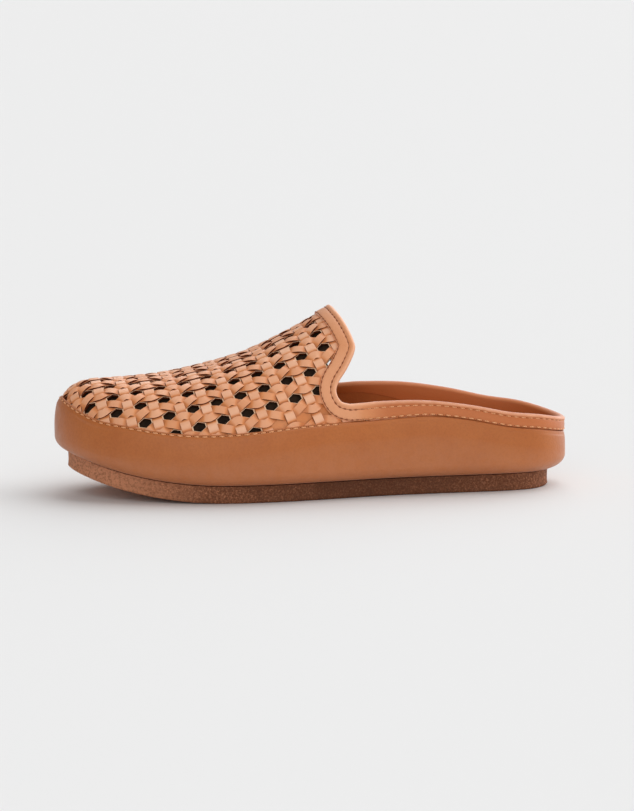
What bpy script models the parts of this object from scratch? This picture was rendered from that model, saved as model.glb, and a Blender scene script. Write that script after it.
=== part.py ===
"""A left slip-on clog: woven leather vamp, bound collar, wrapped platform, insole and crepe outsole.

The toe points to -X, the outer side of the foot is at -Y, and the outsole stands on Z = 0. Lengths are in
metres. The upper is one hollow wall over the last. Its surface is worked out from the outline of the
platform, the footbed under it and the ridge line along the top of the foot.
"""

import math
from typing import NamedTuple

import bpy
import numpy as np
from mathutils import Vector
from mathutils.geometry import delaunay_2d_cdt

# Driving sizes of the last
LENGTH = 0.270
BALL_WIDTH = 0.1035
HEEL_WIDTH = 0.0710
TOE_RADIUS = 0.0330
HEEL_RADIUS = 0.0340
INSTEP_HEIGHT = 0.0955
SIDE_RIM_HEIGHT = 0.0500
HEEL_RIM_HEIGHT = 0.0365
INNER_RIM_RISE = 0.0015
TOE_SPRING = 0.0137

# Driving sizes of the pieces
OUTSOLE_THICKNESS = 0.0090
OUTSOLE_TOE_INSET = 0.0068
OUTSOLE_HEEL_INSET = 0.0092
OUTSOLE_CHAMFER = 0.0006
PLATFORM_THICKNESS = 0.0140
PLATFORM_ROUND = 0.0072
WRAP_HEIGHT = 0.0362
WRAP_TOE_SHOULDER = 0.0165
WRAP_HEEL_SHOULDER = 0.0110
WRAP_LEATHER = 0.0016
UPPER_WALL = 0.0020
INSOLE_THICKNESS = 0.0034
INSOLE_DISH = 0.0010
BINDING_THROAT_WIDTH = 0.0092
BINDING_HEEL_WIDTH = 0.0074
BINDING_INNER_LEG = 0.0054
BINDING_LEATHER = 0.0013
BINDING_ROUNDING = 0.0008
BINDING_TO_WRAP = 0.0006
BINDING_GAP = 0.0005
GAP = 0.0003

# Driving sizes of the weave
COLUMN_PITCH = 0.0123
ROW_PITCH = 0.0110
STRIP_WIDTH = 0.0045
STRIP_RISE = 0.0010
WEAVE_MARGIN = 0.0006

# How finely the forms are divided, and how closely places are sought
RING_POINTS = 64
BINDING_POINTS = 92
SIDE_POINTS = 160
CHART_POINTS = 81
SEEKING_ROUNDS = 40
SLOPE_STEP = 2e-4

UPPER_INSET = WRAP_LEATHER + GAP

# Places along the shoe, as shares of its length from the toe
SPRING_START = 0.31
RIDGE_START = 0.10
RIDGE_END = 0.92
WRAP_FRONT = 0.53


class Breadth(NamedTuple):
    """Half the platform's breadth at a share of the length, and how far its middle lies to the inner side."""

    along: float
    from_ball: float
    from_heel: float
    middle: float


class Ridge(NamedTuple):
    """The ridge line above the sole: its height as a share of the instep's, and the section's roundness."""

    along: float
    height: float
    roundness: float


class Throat(NamedTuple):
    """The topline in front of the rim: a share of the length, and of the instep's height over the rim."""

    along: float
    height: float


class Rim(NamedTuple):
    """The rim beside and behind the heel: a share of the way from the heel's rim up to the side's."""

    along: float
    height: float


class Edge(NamedTuple):
    """The wrap's upper edge beside the vamp: its height over the sole, as a share of the wrap's."""

    along: float
    height: float


BREADTHS = (
    Breadth(0.05, 0.550, 0.000, 0.036),
    Breadth(0.10, 0.725, 0.000, 0.024),
    Breadth(0.20, 0.912, 0.000, 0.010),
    Breadth(0.32, 1.000, 0.000, 0.000),
    Breadth(0.42, 0.945, 0.000, -0.018),
    Breadth(0.52, 0.500, 0.480, -0.028),
    Breadth(0.62, 0.180, 0.810, -0.020),
    Breadth(0.72, 0.000, 1.020, -0.010),
    Breadth(0.80, 0.000, 1.000, -0.004),
    Breadth(0.88, 0.000, 0.960, 0.000),
    Breadth(0.95, 0.000, 0.763, 0.000),
)
TOE_MIDDLE = 0.050

RIDGES = (
    Ridge(0.10, 0.557, 2.60),
    Ridge(0.16, 0.592, 2.40),
    Ridge(0.22, 0.629, 2.25),
    Ridge(0.30, 0.687, 2.15),
    Ridge(0.38, 0.757, 2.05),
    Ridge(0.46, 0.870, 1.95),
    Ridge(0.54, 0.996, 1.90),
    Ridge(0.62, 1.060, 2.05),
    Ridge(0.92, 1.120, 2.30),
)
RIDGE_SIDE = 0.040

THROATS = (
    Throat(0.5410, 1.000),
    Throat(0.5540, 0.865),
    Throat(0.5660, 0.680),
    Throat(0.5665, 0.570),
    Throat(0.5492, 0.385),
    Throat(0.5303, 0.235),
    Throat(0.5245, 0.130),
    Throat(0.5325, 0.030),
    Throat(0.5500, -0.004),
)

RIMS = (
    Rim(0.56, 1.00),
    Rim(0.62, 1.04),
    Rim(0.70, 1.01),
    Rim(0.79, 0.78),
    Rim(0.87, 0.46),
    Rim(0.94, 0.28),
    Rim(1.00, 0.00),
)
RIM_START = 0.60
BAND_END = 0.74
INNER_RISE_END = 0.95

WRAP_EDGES = (
    Edge(0.00, 1.010),
    Edge(0.03, 0.960),
    Edge(0.06, 0.930),
    Edge(0.11, 0.952),
    Edge(0.20, 0.972),
    Edge(0.28, 0.992),
    Edge(0.36, 1.028),
    Edge(0.47, 1.100),
    Edge(0.55, 1.118),
)

# The weave's strips cross the vamp in planes that lean towards the toe, more so up the instep
LEAN_ALONG = (0.05, 0.20, 0.35, 0.55)
LEAN_DEGREES = (6.0, 14.0, 20.0, 27.0)
WEAVE_COLUMN_PHASE = 0.28

# Its rows drift to the outer side towards the toe, in rows to a column, from this column on
WEAVE_DRIFT = -0.052
WEAVE_DRIFT_COLUMN = 4.5


def eased(low, high, at):
    """A soft step from 0 at low to 1 at high."""
    part = np.clip((at - low) / (high - low), 0, 1)
    return part**2 * (3 - 2 * part)


def through(stations, values, at):
    """A smooth curve through the values given at the stations, read at other places."""
    stations = np.asarray(stations, float)
    values = np.asarray(values, float)
    at = np.clip(np.asarray(at, float), stations[0], stations[-1])
    slopes = np.gradient(values, stations)
    index = np.clip(np.searchsorted(stations, at, side="right") - 1, 0, len(stations) - 2)
    span = stations[index + 1] - stations[index]
    part = (at - stations[index]) / span
    start = (1 + 2 * part) * (1 - part) ** 2
    end = part**2 * (3 - 2 * part)
    rise = part * (1 - part) ** 2 * span
    fall = part**2 * (part - 1) * span
    return (
        start * values[index]
        + end * values[index + 1]
        + rise * slopes[index]
        + fall * slopes[index + 1]
    )


def column(rows, name):
    """One named column of a table."""
    return [getattr(row, name) for row in rows]


def share_along(turn):
    """The share of the length from the toe, for a turn from 0 at the toe to 1 at the heel and on."""
    return (1 - np.cos(math.pi * turn)) / 2


def outline(turn, inset=0.0):
    """A point of the platform's outline seen from above, moved inwards by an inset."""

    def at(turn):
        share = share_along(turn)
        inner = [
            (row.from_ball * BALL_WIDTH + row.from_heel * HEEL_WIDTH)
            / 4
            / math.sqrt(row.along * (1 - row.along))
            for row in BREADTHS
        ]
        bows = [
            math.sqrt(TOE_RADIUS * LENGTH / 2),
            *inner,
            math.sqrt(HEEL_RADIUS * LENGTH / 2),
        ]
        stations = [0.0, *column(BREADTHS, "along"), 1.0]
        middles = [TOE_MIDDLE, *column(BREADTHS, "middle"), 0.0]
        bow = through(stations, bows, share)
        middle = through(stations, middles, share) * BALL_WIDTH
        return np.stack(
            [(share - 0.5) * LENGTH, middle - bow * np.sin(math.pi * turn)], axis=-1
        )

    turn = np.asarray(turn, float)
    step = 1e-4
    along = at(turn + step) - at(turn - step)
    along /= np.linalg.norm(along, axis=-1, keepdims=True)
    outward = np.stack([along[..., 1], -along[..., 0]], axis=-1)
    return at(turn) - np.asarray(inset, float)[..., None] * outward


def centred(points):
    """Points moved sideways so that the platform's outline is centred on Y = 0."""
    across = outline(np.linspace(0, 2, 721))[:, 1]
    moved = np.array(points, float)
    moved[..., 1] -= (across.max() + across.min()) / 2
    return moved


def spring(share):
    """How high the sole's underside is off the floor."""
    return TOE_SPRING * np.clip((SPRING_START - share) / SPRING_START, 0, None) ** 2


def floor_height(share):
    """The top of the platform inside the cup, which the upper and the insole stand over."""
    return spring(share) + OUTSOLE_THICKNESS + GAP + PLATFORM_THICKNESS


def rim_height(share):
    """The height of the collar's rim beside and behind the heel, on the outer side."""
    part = through(column(RIMS, "along"), column(RIMS, "height"), share)
    return HEEL_RIM_HEIGHT + part * (SIDE_RIM_HEIGHT - HEEL_RIM_HEIGHT)


def inner_rise(share):
    """How much higher the collar's rim is on the inner side."""
    return INNER_RIM_RISE * (1 - eased(RIM_START, INNER_RISE_END, share))


def binding_width(share):
    """The width of the collar binding, which narrows from the throat to the heel."""
    heel_share = eased(RIM_START, BAND_END, share)
    return BINDING_THROAT_WIDTH + heel_share * (BINDING_HEEL_WIDTH - BINDING_THROAT_WIDTH)


def width_along(edge):
    """The binding's width at places of the topline, more where the inner side's rim is higher."""
    share = edge[:, 0] / LENGTH + 0.5
    return binding_width(share) + inner_rise(share) * eased(0, BALL_WIDTH / 4, edge[:, 1])


def wrap_height(share):
    """The wrap's upper edge: it dips behind the toe, and runs just under the binding at the back."""
    part = through(column(WRAP_EDGES, "along"), column(WRAP_EDGES, "height"), share)
    front = spring(share) + part * WRAP_HEIGHT
    back = rim_height(share) - binding_width(share) - BINDING_TO_WRAP
    return front + eased(WRAP_FRONT, RIM_START, share) * (back - front)


def wrap_shoulder(share):
    """How far the wrap's widest line lies below its upper edge."""
    return WRAP_TOE_SHOULDER + eased(0, RIM_START, share) * (WRAP_HEEL_SHOULDER - WRAP_TOE_SHOULDER)


def outsole_inset(share):
    """How far the outsole is set in from the platform's outline."""
    return OUTSOLE_TOE_INSET + share * (OUTSOLE_HEEL_INSET - OUTSOLE_TOE_INSET)


def ridge_of(turn):
    """Where the section at this turn meets the ridge: place seen from above, height and roundness."""
    share = RIDGE_START + (RIDGE_END - RIDGE_START) * share_along(turn)
    alongs = column(RIDGES, "along")
    height = through(alongs, column(RIDGES, "height"), share) * INSTEP_HEIGHT
    roundness = through(alongs, column(RIDGES, "roundness"), share)
    place = np.stack(
        [(share - 0.5) * LENGTH, np.full_like(share, RIDGE_SIDE * BALL_WIDTH)], axis=-1
    )
    return place, height + spring(share), roundness


def last_point(turn, reach):
    """A point of the upper's outer face: reach is 0 on the ridge and 1 at the foot of the wall."""
    turn = np.asarray(turn, float)
    reach = np.clip(reach, 0, 1)
    ridge, top, roundness = ridge_of(turn)
    foot = outline(turn, UPPER_INSET)
    low = floor_height(share_along(turn)) + GAP
    angle = reach * math.pi / 2
    out = np.sin(angle) ** (2 / roundness)
    up = np.cos(angle).clip(0) ** (2 / roundness)
    plan = ridge + (foot - ridge) * out[..., None]
    return np.concatenate([plan, (low + (top - low) * up)[..., None]], axis=-1)


def reach_at_height(turn, height):
    """The reach at which the wall has this height."""
    _, top, roundness = ridge_of(turn)
    low = floor_height(share_along(turn)) + GAP
    up = np.clip((height - low) / (top - low), 0, 1)
    return np.arccos(up ** (roundness / 2)) / (math.pi / 2)


def flat_place(turn, reach):
    """The place on the flat pattern of the upper, where the wall isn't foreshortened."""
    ridge, _, _ = ridge_of(np.asarray(turn, float))
    return ridge + (outline(turn, UPPER_INSET) - ridge) * np.asarray(reach)[..., None]


def turn_and_reach(flat):
    """The turn and reach of places on the flat pattern."""
    flat = np.asarray(flat, float)
    turns = np.linspace(0, 2, 2401)
    foot_line = outline(turns, UPPER_INSET)
    ridge_line = ridge_of(turns)[0]
    start, end = ridge_of(np.array([0.0, 1.0]))[0]
    tips = outline(np.array([0.0, 1.0]), UPPER_INSET)
    middle = np.interp(
        flat[:, 0],
        [tips[0, 0], start[0], end[0], tips[1, 0]],
        [tips[0, 1], start[1], end[1], tips[1, 1]],
    )
    outer_side = flat[:, 1] <= middle
    low = np.where(outer_side, 0.0, 1.0)
    high = low + 1.0

    def turned_past(turn):
        ridge, foot = (
            np.stack([np.interp(turn, turns, line[:, axis]) for axis in (0, 1)], axis=1)
            for line in (ridge_line, foot_line)
        )
        arm, gone = foot - ridge, flat - ridge
        return arm[:, 0] * gone[:, 1] - arm[:, 1] * gone[:, 0]

    for _ in range(SEEKING_ROUNDS):
        half = (low + high) / 2
        ahead = turned_past(half) > 0
        low = np.where(ahead, half, low)
        high = np.where(ahead, high, half)
    turn = (low + high) / 2
    ridge, _, _ = ridge_of(turn)
    arm = np.linalg.norm(outline(turn, UPPER_INSET) - ridge, axis=1)
    return turn, np.linalg.norm(flat - ridge, axis=1) / arm


def surface(flat):
    """Points of the upper's outer face over places on the flat pattern."""
    return last_point(*turn_and_reach(flat))


def surface_frame(flat):
    """Points, outward normals and the two slopes of the upper's outer face."""
    step = SLOPE_STEP
    here = surface(flat)
    by_x = (surface(flat + [step, 0]) - surface(flat - [step, 0])) / (2 * step)
    by_y = (surface(flat + [0, step]) - surface(flat - [0, step])) / (2 * step)
    normal = np.cross(by_x, by_y)
    normal /= np.linalg.norm(normal, axis=1, keepdims=True)
    return here, normal, by_x, by_y


def slide(flat, targets, rounds=4):
    """Places on the flat pattern whose surface points lie nearest the targets."""
    flat = np.array(flat, float)
    for _ in range(rounds):
        here, _, by_x, by_y = surface_frame(flat)
        miss = targets - here
        a, b, c = (by_x**2).sum(1), (by_x * by_y).sum(1), (by_y**2).sum(1)
        e, f = (by_x * miss).sum(1), (by_y * miss).sum(1)
        scale = a * c - b * b
        flat += np.stack([(c * e - b * f) / scale, (a * f - b * e) / scale], axis=1)
    return flat


def topline_side(side):
    """Half of the topline on the flat pattern, from the peak to the back of the heel; side is -1 or 1."""
    count = SIDE_POINTS
    rows = np.linspace(0, len(THROATS) - 1, count)
    order = np.arange(len(THROATS))
    corner = np.array(THROATS[-1].along)
    rise = 0.0 if side < 0 else 1.0
    rim = rim_height(corner) + rise * inner_rise(corner)
    along = through(order, column(THROATS, "along"), rows)
    height = through(order, column(THROATS, "height"), rows) * (INSTEP_HEIGHT - rim) + rim
    low, high = np.zeros(count), np.ones(count)
    for _ in range(SEEKING_ROUNDS):
        half = (low + high) / 2
        turn = half if side < 0 else 2 - half
        point = last_point(turn, reach_at_height(turn, height))
        ahead = point[:, 0] < (along - 0.5) * LENGTH
        low = np.where(ahead, half, low)
        high = np.where(ahead, high, half)
    turn = (low + high) / 2 if side < 0 else 2 - (low + high) / 2
    throat = flat_place(turn, reach_at_height(turn, height))
    back = np.linspace(0, 1, count)
    start = math.acos(1 - 2 * RIM_START) / math.pi
    turn = start + (1 - start) * back
    turn = turn if side < 0 else 2 - turn
    share = share_along(turn)
    rim_line = flat_place(turn, reach_at_height(turn, rim_height(share) + rise * inner_rise(share)))
    return np.concatenate([throat, rim_line])


def evenly(flat, count):
    """A closed run of places on the flat pattern, spread evenly over the surface."""
    points = surface(flat)
    steps = np.linalg.norm(np.roll(points, -1, axis=0) - points, axis=1)
    gone = np.concatenate([[0], np.cumsum(steps)])
    around = np.linspace(0, gone[-1], count, endpoint=False)
    closed = np.vstack([flat, flat[:1]])
    return np.stack([np.interp(around, gone, closed[:, axis]) for axis in (0, 1)], axis=1)


def topline(count):
    """The collar's edge as a closed run on the flat pattern: peak, outer side, heel, inner side."""
    outer = topline_side(-1)
    inner = topline_side(1)[::-1]
    return evenly(np.vstack([outer, inner[1:-1]]), count)


def into_leather(edge):
    """For each point of a closed run, the direction on the surface that points away from the opening."""
    points, normal, _, _ = surface_frame(edge)
    along = np.roll(points, -1, axis=0) - np.roll(points, 1, axis=0)
    along /= np.linalg.norm(along, axis=1, keepdims=True)
    return np.cross(along, normal)


def set_in(edge, distance):
    """A closed run moved over the surface, away from the opening, by one distance or one a place."""
    points = surface(edge)
    return slide(edge, points + into_leather(edge) * np.asarray(distance, float)[..., None])


class Weave:
    """The woven sheet laid over the last: columns run across the vamp and rows run along its ridge."""

    def __init__(self):
        across = np.linspace(-1, 1, CHART_POINTS)
        ridge_turn = np.linspace(0.0, 0.999, 240)
        ridge_flat, _, _ = ridge_of(ridge_turn)
        toe_flat = np.linspace(outline(np.array(0.0), UPPER_INSET), ridge_flat[0], 40)[:-1]
        line = np.vstack([toe_flat, ridge_flat])
        points = surface(line)
        gone = np.concatenate(
            [[0], np.cumsum(np.linalg.norm(np.diff(points, axis=0), axis=1))]
        )
        peak = (THROATS[0].along - 0.5) * LENGTH
        self.reach_up = float(np.interp(peak, points[:, 0], gone))
        self.steps = np.arange(-1.5, 15.5, 0.25)
        distance = self.reach_up - self.steps * COLUMN_PITCH
        origin = np.stack([np.interp(distance, gone, points[:, axis]) for axis in range(3)], 1)
        lean = np.radians(
            through(LEAN_ALONG, LEAN_DEGREES, origin[:, 0] / LENGTH + 0.5)
        )
        normal = np.stack([np.cos(lean), np.zeros_like(lean), np.sin(lean)], axis=1)
        shape = (len(self.steps), len(across))
        low, high = np.full(shape, 1e-3), np.full(shape, 0.95)
        for _ in range(SEEKING_ROUNDS):
            half = (low + high) / 2
            flat = self.chart(half, across)
            point = surface(flat.reshape(-1, 2)).reshape(*shape, 3)
            behind = ((point - origin[:, None]) * normal[:, None]).sum(-1) < 0
            low = np.where(behind, half, low)
            high = np.where(behind, high, half)
        self.flat = self.chart((low + high) / 2, across)
        point = surface(self.flat.reshape(-1, 2)).reshape(*shape, 3)
        step = np.linalg.norm(np.diff(point, axis=1), axis=2)
        girth = np.concatenate([np.zeros((shape[0], 1)), np.cumsum(step, axis=1)], axis=1)
        middle = np.array(
            [np.interp(RIDGE_SIDE * BALL_WIDTH, row[:, 1], g) for row, g in zip(point, girth)]
        )
        self.girth = girth - middle[:, None]

    @staticmethod
    def chart(turn, across):
        """Places on the flat pattern at a turn and a share across, from the outer to the inner side."""
        outer = outline(turn, UPPER_INSET)
        inner = outline(2 - turn, UPPER_INSET)
        part = (np.broadcast_to(across, turn.shape)[..., None] + 1) / 2
        return outer + (inner - outer) * part

    def place(self, columns, rows):
        """Places on the flat pattern, from counts of columns back from the peak and rows off the ridge."""
        columns = np.asarray(columns, float)
        drifted = np.asarray(rows, float) + WEAVE_DRIFT * (columns - WEAVE_DRIFT_COLUMN)
        girth = drifted * ROW_PITCH
        at = (columns - self.steps[0]) / (self.steps[1] - self.steps[0])
        index = np.clip(at.astype(int), 0, len(self.steps) - 2)
        part = at - index
        places = np.zeros((len(columns), 2))
        for k in np.unique(index):
            here = index == k
            for j, share in ((k, 1 - part[here]), (k + 1, part[here])):
                for axis in (0, 1):
                    at_girth = np.interp(girth[here], self.girth[j], self.flat[j][:, axis])
                    places[here, axis] += share * at_girth
        return places


def inside(points, polygon):
    """Which points lie inside a closed polygon."""
    x, y = points[:, 0, None], points[:, 1, None]
    x0, y0 = polygon[:, 0], polygon[:, 1]
    x1, y1 = np.roll(x0, -1), np.roll(y0, -1)
    crosses = (y0 > y) != (y1 > y)
    with np.errstate(divide="ignore", invalid="ignore"):
        at = x0 + (y - y0) * (x1 - x0) / (y1 - y0)
    return (crosses & (x < at)).sum(axis=1) % 2 == 1


def hexagon():
    """A gap's corners, in columns and rows from its middle: two sides along a strip and two apexes."""
    half_strip = STRIP_WIDTH / 2
    side = 0.5 - half_strip / COLUMN_PITCH
    slope = 0.5
    tilt = math.atan2(slope * ROW_PITCH, COLUMN_PITCH)
    apex = 0.5 - half_strip / math.cos(tilt) / ROW_PITCH
    shoulder = apex - slope * side
    corners = [(-side, -shoulder), (0, -apex), (side, -shoulder)]
    return corners + [(-x, -y) for x, y in corners]


def weave_points():
    """Raised and low points of one cell, in columns and rows from its gap's middle, with their rise."""
    side = hexagon()[2][0]
    return [
        (0.5, 0.0, 0.7),
        (0.5, 0.25, 1.0),
        (0.5, 0.75, 1.0),
        (0.0, 0.5, 1.0),
        (side, 0.5, 0.1),
        (-side, 0.5, 0.1),
        (0.25, 0.385, 0.8),
        (-0.25, 0.385, 0.8),
    ]


def new_object(name, vertices, faces, material, smooth_angle=40.0):
    """An object made from vertices and faces, shaded smooth except at its sharp edges."""
    mesh = bpy.data.meshes.new(name)
    mesh.from_pydata([tuple(v) for v in centred(vertices)], [], [list(map(int, f)) for f in faces])
    mesh.validate()
    mesh.shade_smooth()
    mesh.set_sharp_from_angle(angle=math.radians(smooth_angle))
    mesh.materials.append(material)
    obj = bpy.data.objects.new(name, mesh)
    bpy.data.collections[COLLECTION].objects.link(obj)
    return obj


def make_material(name, colour, roughness):
    """A plain surface for one piece."""
    material = bpy.data.materials.new(name)
    material.use_nodes = True
    shader = material.node_tree.nodes["Principled BSDF"]
    shader.inputs["Base Color"].default_value = (*colour, 1)
    shader.inputs["Roughness"].default_value = roughness
    shader.inputs["Metallic"].default_value = 0.0
    return material


def loft(rings):
    """Vertices and faces of a solid through closed rings, capped across the foot at both ends."""
    count = len(rings[0])
    vertices = np.concatenate(rings)
    faces = []
    for level in range(len(rings) - 1):
        for k in range(count):
            low = level * count
            nxt = (k + 1) % count
            faces.append((low + k, low + nxt, low + count + nxt, low + count + k))
    last = (len(rings) - 1) * count
    for base, flip in ((0, True), (last, False)):
        for k in range(count // 2):
            face = [base + k, base + k + 1, base + count - k - 1, base + (count - k) % count]
            face = list(dict.fromkeys(face))
            faces.append(face[::-1] if flip else face)
    return vertices, faces


def ring_places():
    """The turns of a ring's points, and their shares of the length."""
    turn = np.arange(RING_POINTS) * 2 / RING_POINTS
    return turn, share_along(turn)


def ring(inset, height):
    """A closed ring of points at an inset from the outline and at a height."""
    turn, _ = ring_places()
    return np.column_stack([outline(turn, inset), height])


def make_outsole(material):
    """The crepe outsole: level from the ball back, rising to the toe, its side wall upright."""

    _, share = ring_places()
    inset, low = outsole_inset(share), spring(share)
    rings = [
        ring(inset + OUTSOLE_CHAMFER, low),
        ring(inset, low + OUTSOLE_CHAMFER),
        ring(inset, low + OUTSOLE_THICKNESS),
    ]
    return new_object("outsole", *loft(rings), material)


def make_midsole(material):
    """The platform in its leather wrap: rounded underneath, bulging, and closing in on the upper."""
    turn, share = ring_places()
    rings = []
    under = outsole_inset(share) + OUTSOLE_CHAMFER
    for angle in np.radians([0, 25, 50, 72, 90]):
        low = OUTSOLE_THICKNESS + GAP + PLATFORM_ROUND * (1 - math.cos(angle))
        rings.append(ring(under * (1 - math.sin(angle)), spring(share) + low))
    edge_reach = reach_at_height(turn, wrap_height(share))
    edge, normal, _, _ = surface_frame(flat_place(turn, edge_reach))
    top_edge = edge + normal * (GAP + WRAP_LEATHER)
    widest = ring(0.0, wrap_height(share) - wrap_shoulder(share))
    rings.append(widest)
    for angle in np.radians([38, 67]):
        closing = widest + (top_edge - widest) * (1 - math.cos(angle))
        closing[:, 2] = widest[:, 2] + (top_edge[:, 2] - widest[:, 2]) * math.sin(angle)
        rings.append(closing)
    rings.append(top_edge)
    low = floor_height(share)
    for height in (wrap_height(share), low + INSOLE_THICKNESS):
        inner, normal, _, _ = surface_frame(flat_place(turn, reach_at_height(turn, height)))
        rings.append(inner + normal * GAP)
    rings.append(ring(UPPER_INSET - GAP, low))
    return new_object("midsole", *loft(rings), material)


def middle_line():
    """The line midway between the two sides of the foot, as places along and places across."""
    half = np.linspace(0, 1, 61)
    outer, inner = outline(half), outline(2 - half)
    return outer[:, 0], (outer[:, 1] + inner[:, 1]) / 2


def make_insole(material):
    """The insole: it fills the foot of the upper and dishes a little under the foot."""
    turn, share = ring_places()
    low = floor_height(share)
    top = INSOLE_THICKNESS
    reach = reach_at_height(turn, low + top)
    wall, normal, _, _ = surface_frame(flat_place(turn, reach))
    inner = (wall - normal * (UPPER_WALL + 1.5 * GAP))[:, :2]
    middle = np.column_stack([inner[:, 0], np.interp(inner[:, 0], *middle_line())])

    def level(drawn_in, height):
        arm = middle - inner
        part = drawn_in / np.maximum(np.linalg.norm(arm, axis=1), 2 * drawn_in + GAP)
        return np.column_stack([inner + arm * part[:, None], low + height])

    rings = [
        level(0.0, GAP),
        level(0.0, top * 0.75),
        level(top * 0.5, top),
        level(HEEL_WIDTH * 0.12, top - INSOLE_DISH * 0.8),
        level(HEEL_WIDTH * 0.20, top - INSOLE_DISH),
    ]
    return new_object("insole", *loft(rings), material)


def make_binding(material):
    """The collar binding: a folded strip that straddles the upper's edge all round the opening."""
    edge = topline(BINDING_POINTS)
    width = width_along(edge)
    outer_face = BINDING_GAP + BINDING_LEATHER
    inner_face = -UPPER_WALL - BINDING_GAP - BINDING_LEATHER
    profile = [
        (width, BINDING_GAP),
        (width, outer_face),
        (BINDING_ROUNDING, outer_face),
        (0.0, outer_face - BINDING_ROUNDING),
        (0.0, inner_face + BINDING_ROUNDING),
        (BINDING_ROUNDING, inner_face),
        (BINDING_INNER_LEG, inner_face),
        (BINDING_INNER_LEG, -UPPER_WALL - BINDING_GAP),
        (BINDING_LEATHER, -UPPER_WALL - BINDING_GAP),
        (BINDING_LEATHER, BINDING_GAP),
    ]
    rings = []
    for depth, out in profile:
        here, normal, _, _ = surface_frame(set_in(edge, depth))
        rings.append(here + normal * out)
    vertices = np.concatenate(rings)
    faces = []
    for level in range(len(rings)):
        low = level * BINDING_POINTS
        high = (level + 1) % len(rings) * BINDING_POINTS
        for k in range(BINDING_POINTS):
            nxt = (k + 1) % BINDING_POINTS
            faces.append((low + k, low + nxt, high + nxt, high + k))
    return new_object("collar_binding", vertices, faces, material)


def make_upper(material):
    """The upper: one hollow wall with the weave's gaps cut and its strips raised."""
    foot_turn, share = ring_places()
    foot = flat_place(foot_turn, np.ones(RING_POINTS))
    full_edge = topline(BINDING_POINTS)
    edge = set_in(full_edge, BINDING_LEATHER + BINDING_GAP)
    width = width_along(full_edge)
    under_binding = set_in(full_edge, width)
    clear_of_binding = set_in(full_edge, width + WEAVE_MARGIN)

    def above_wrap(flat, margin):
        turn, _ = turn_and_reach(flat)
        over = surface(flat)[:, 2] - wrap_height(share_along(turn))
        return (over > margin) & ~inside(flat, clear_of_binding)

    weave = Weave()
    middles = np.array([(c, r) for c in range(-1, 15) for r in range(-8, 9)], float)
    middles[:, 0] += WEAVE_COLUMN_PHASE
    corners = (middles[:, None] + np.array(hexagon())).reshape(-1, 2)
    flat = weave.place(*corners.T)
    open_gap = above_wrap(flat, WEAVE_MARGIN).reshape(-1, 6).all(axis=1)
    gaps = flat.reshape(-1, 6, 2)[open_gap]
    low_edges = np.full(6 * len(gaps), 0.15 * STRIP_RISE)
    cell = np.array(weave_points())
    raised = (middles[:, None] + cell[:, :2]).reshape(-1, 2)
    heights = np.tile(cell[:, 2] * STRIP_RISE, len(middles))
    flat = weave.place(*raised.T)
    keep = above_wrap(flat, 1.5 * WEAVE_MARGIN)
    junction = flat_place(foot_turn, reach_at_height(foot_turn, wrap_height(share)))
    apart = np.linalg.norm(junction[:, None] - under_binding, axis=2).min(axis=1)
    kept_junction = apart > BINDING_HEEL_WIDTH / 5
    insole_top = floor_height(share) + INSOLE_THICKNESS
    beside_insole = flat_place(foot_turn, reach_at_height(foot_turn, insole_top))
    spare = np.concatenate([beside_insole, junction[kept_junction]])
    flat = np.concatenate([foot, edge, under_binding, gaps.reshape(-1, 2), flat[keep], spare])
    plain = np.zeros(len(foot) + 2 * len(edge))
    rise = np.concatenate([plain, low_edges, heights[keep], np.zeros(len(spare))])

    first_gap = len(plain)
    loops = [np.arange(len(foot)), *np.arange(len(foot), first_gap).reshape(2, -1)]
    loops += [np.arange(6) + first_gap + 6 * number for number in range(len(gaps))]
    first_spare = len(flat) - len(spare)
    loops.append(np.arange(RING_POINTS) + first_spare)
    edges = [(int(a), int(b)) for loop in loops for a, b in zip(loop, np.roll(loop, -1))]
    number = first_spare + RING_POINTS - 1 + np.cumsum(kept_junction)
    both = kept_junction & np.roll(kept_junction, -1)
    edges += [(int(a), int(b)) for a, b in zip(number[both], np.roll(number, -1)[both])]
    made = delaunay_2d_cdt([Vector(p) for p in flat], edges, [], 0, 1e-7)
    rise = np.array([rise[ids[0]] if ids else 0.0 for ids in made[3]])
    flat = np.array([flat[ids[0]] if ids else tuple(place) for place, ids in zip(made[0], made[3])])
    triangles = np.array([list(face) for face in made[2]])
    middles = flat[triangles].mean(axis=1)
    keep = inside(middles, foot) & ~inside(middles, edge)
    for gap in gaps:
        keep &= ~inside(middles, gap)
    triangles = triangles[keep]

    here, normal, _, _ = surface_frame(flat)
    outer = here + normal * rise[:, None]
    inner = here - normal * UPPER_WALL
    sides = np.concatenate([triangles[:, [0, 1]], triangles[:, [1, 2]], triangles[:, [2, 0]]])
    known = {tuple(side) for side in sides.tolist()}
    rim = [side for side in sides.tolist() if (side[1], side[0]) not in known]
    count = len(flat)
    faces = triangles.tolist()
    faces += (triangles[:, ::-1] + count).tolist()
    faces += [(b, a, a + count, b + count) for a, b in rim]
    used = np.unique(np.concatenate([np.ravel(face) for face in faces]))
    number = {int(old): new for new, old in enumerate(used)}
    faces = [[number[v] for v in face] for face in faces]
    return new_object("upper", np.vstack([outer, inner])[used], faces, material, 25.0)


COLLECTION = "Clog"


def main():
    for obj in list(bpy.data.objects):
        bpy.data.objects.remove(obj, do_unlink=True)
    collection = bpy.data.collections.new(COLLECTION)
    bpy.context.scene.collection.children.link(collection)

    tan_leather = make_material("Tan leather", (0.43, 0.16, 0.055), 0.45)
    woven_leather = make_material("Woven leather", (0.47, 0.18, 0.065), 0.42)
    lining = make_material("Footbed leather", (0.26, 0.09, 0.030), 0.60)
    crepe = make_material("Brown crepe", (0.13, 0.050, 0.022), 0.85)

    make_outsole(crepe)
    make_midsole(tan_leather)
    make_insole(lining)
    make_upper(woven_leather)
    make_binding(tan_leather)


main()
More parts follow.
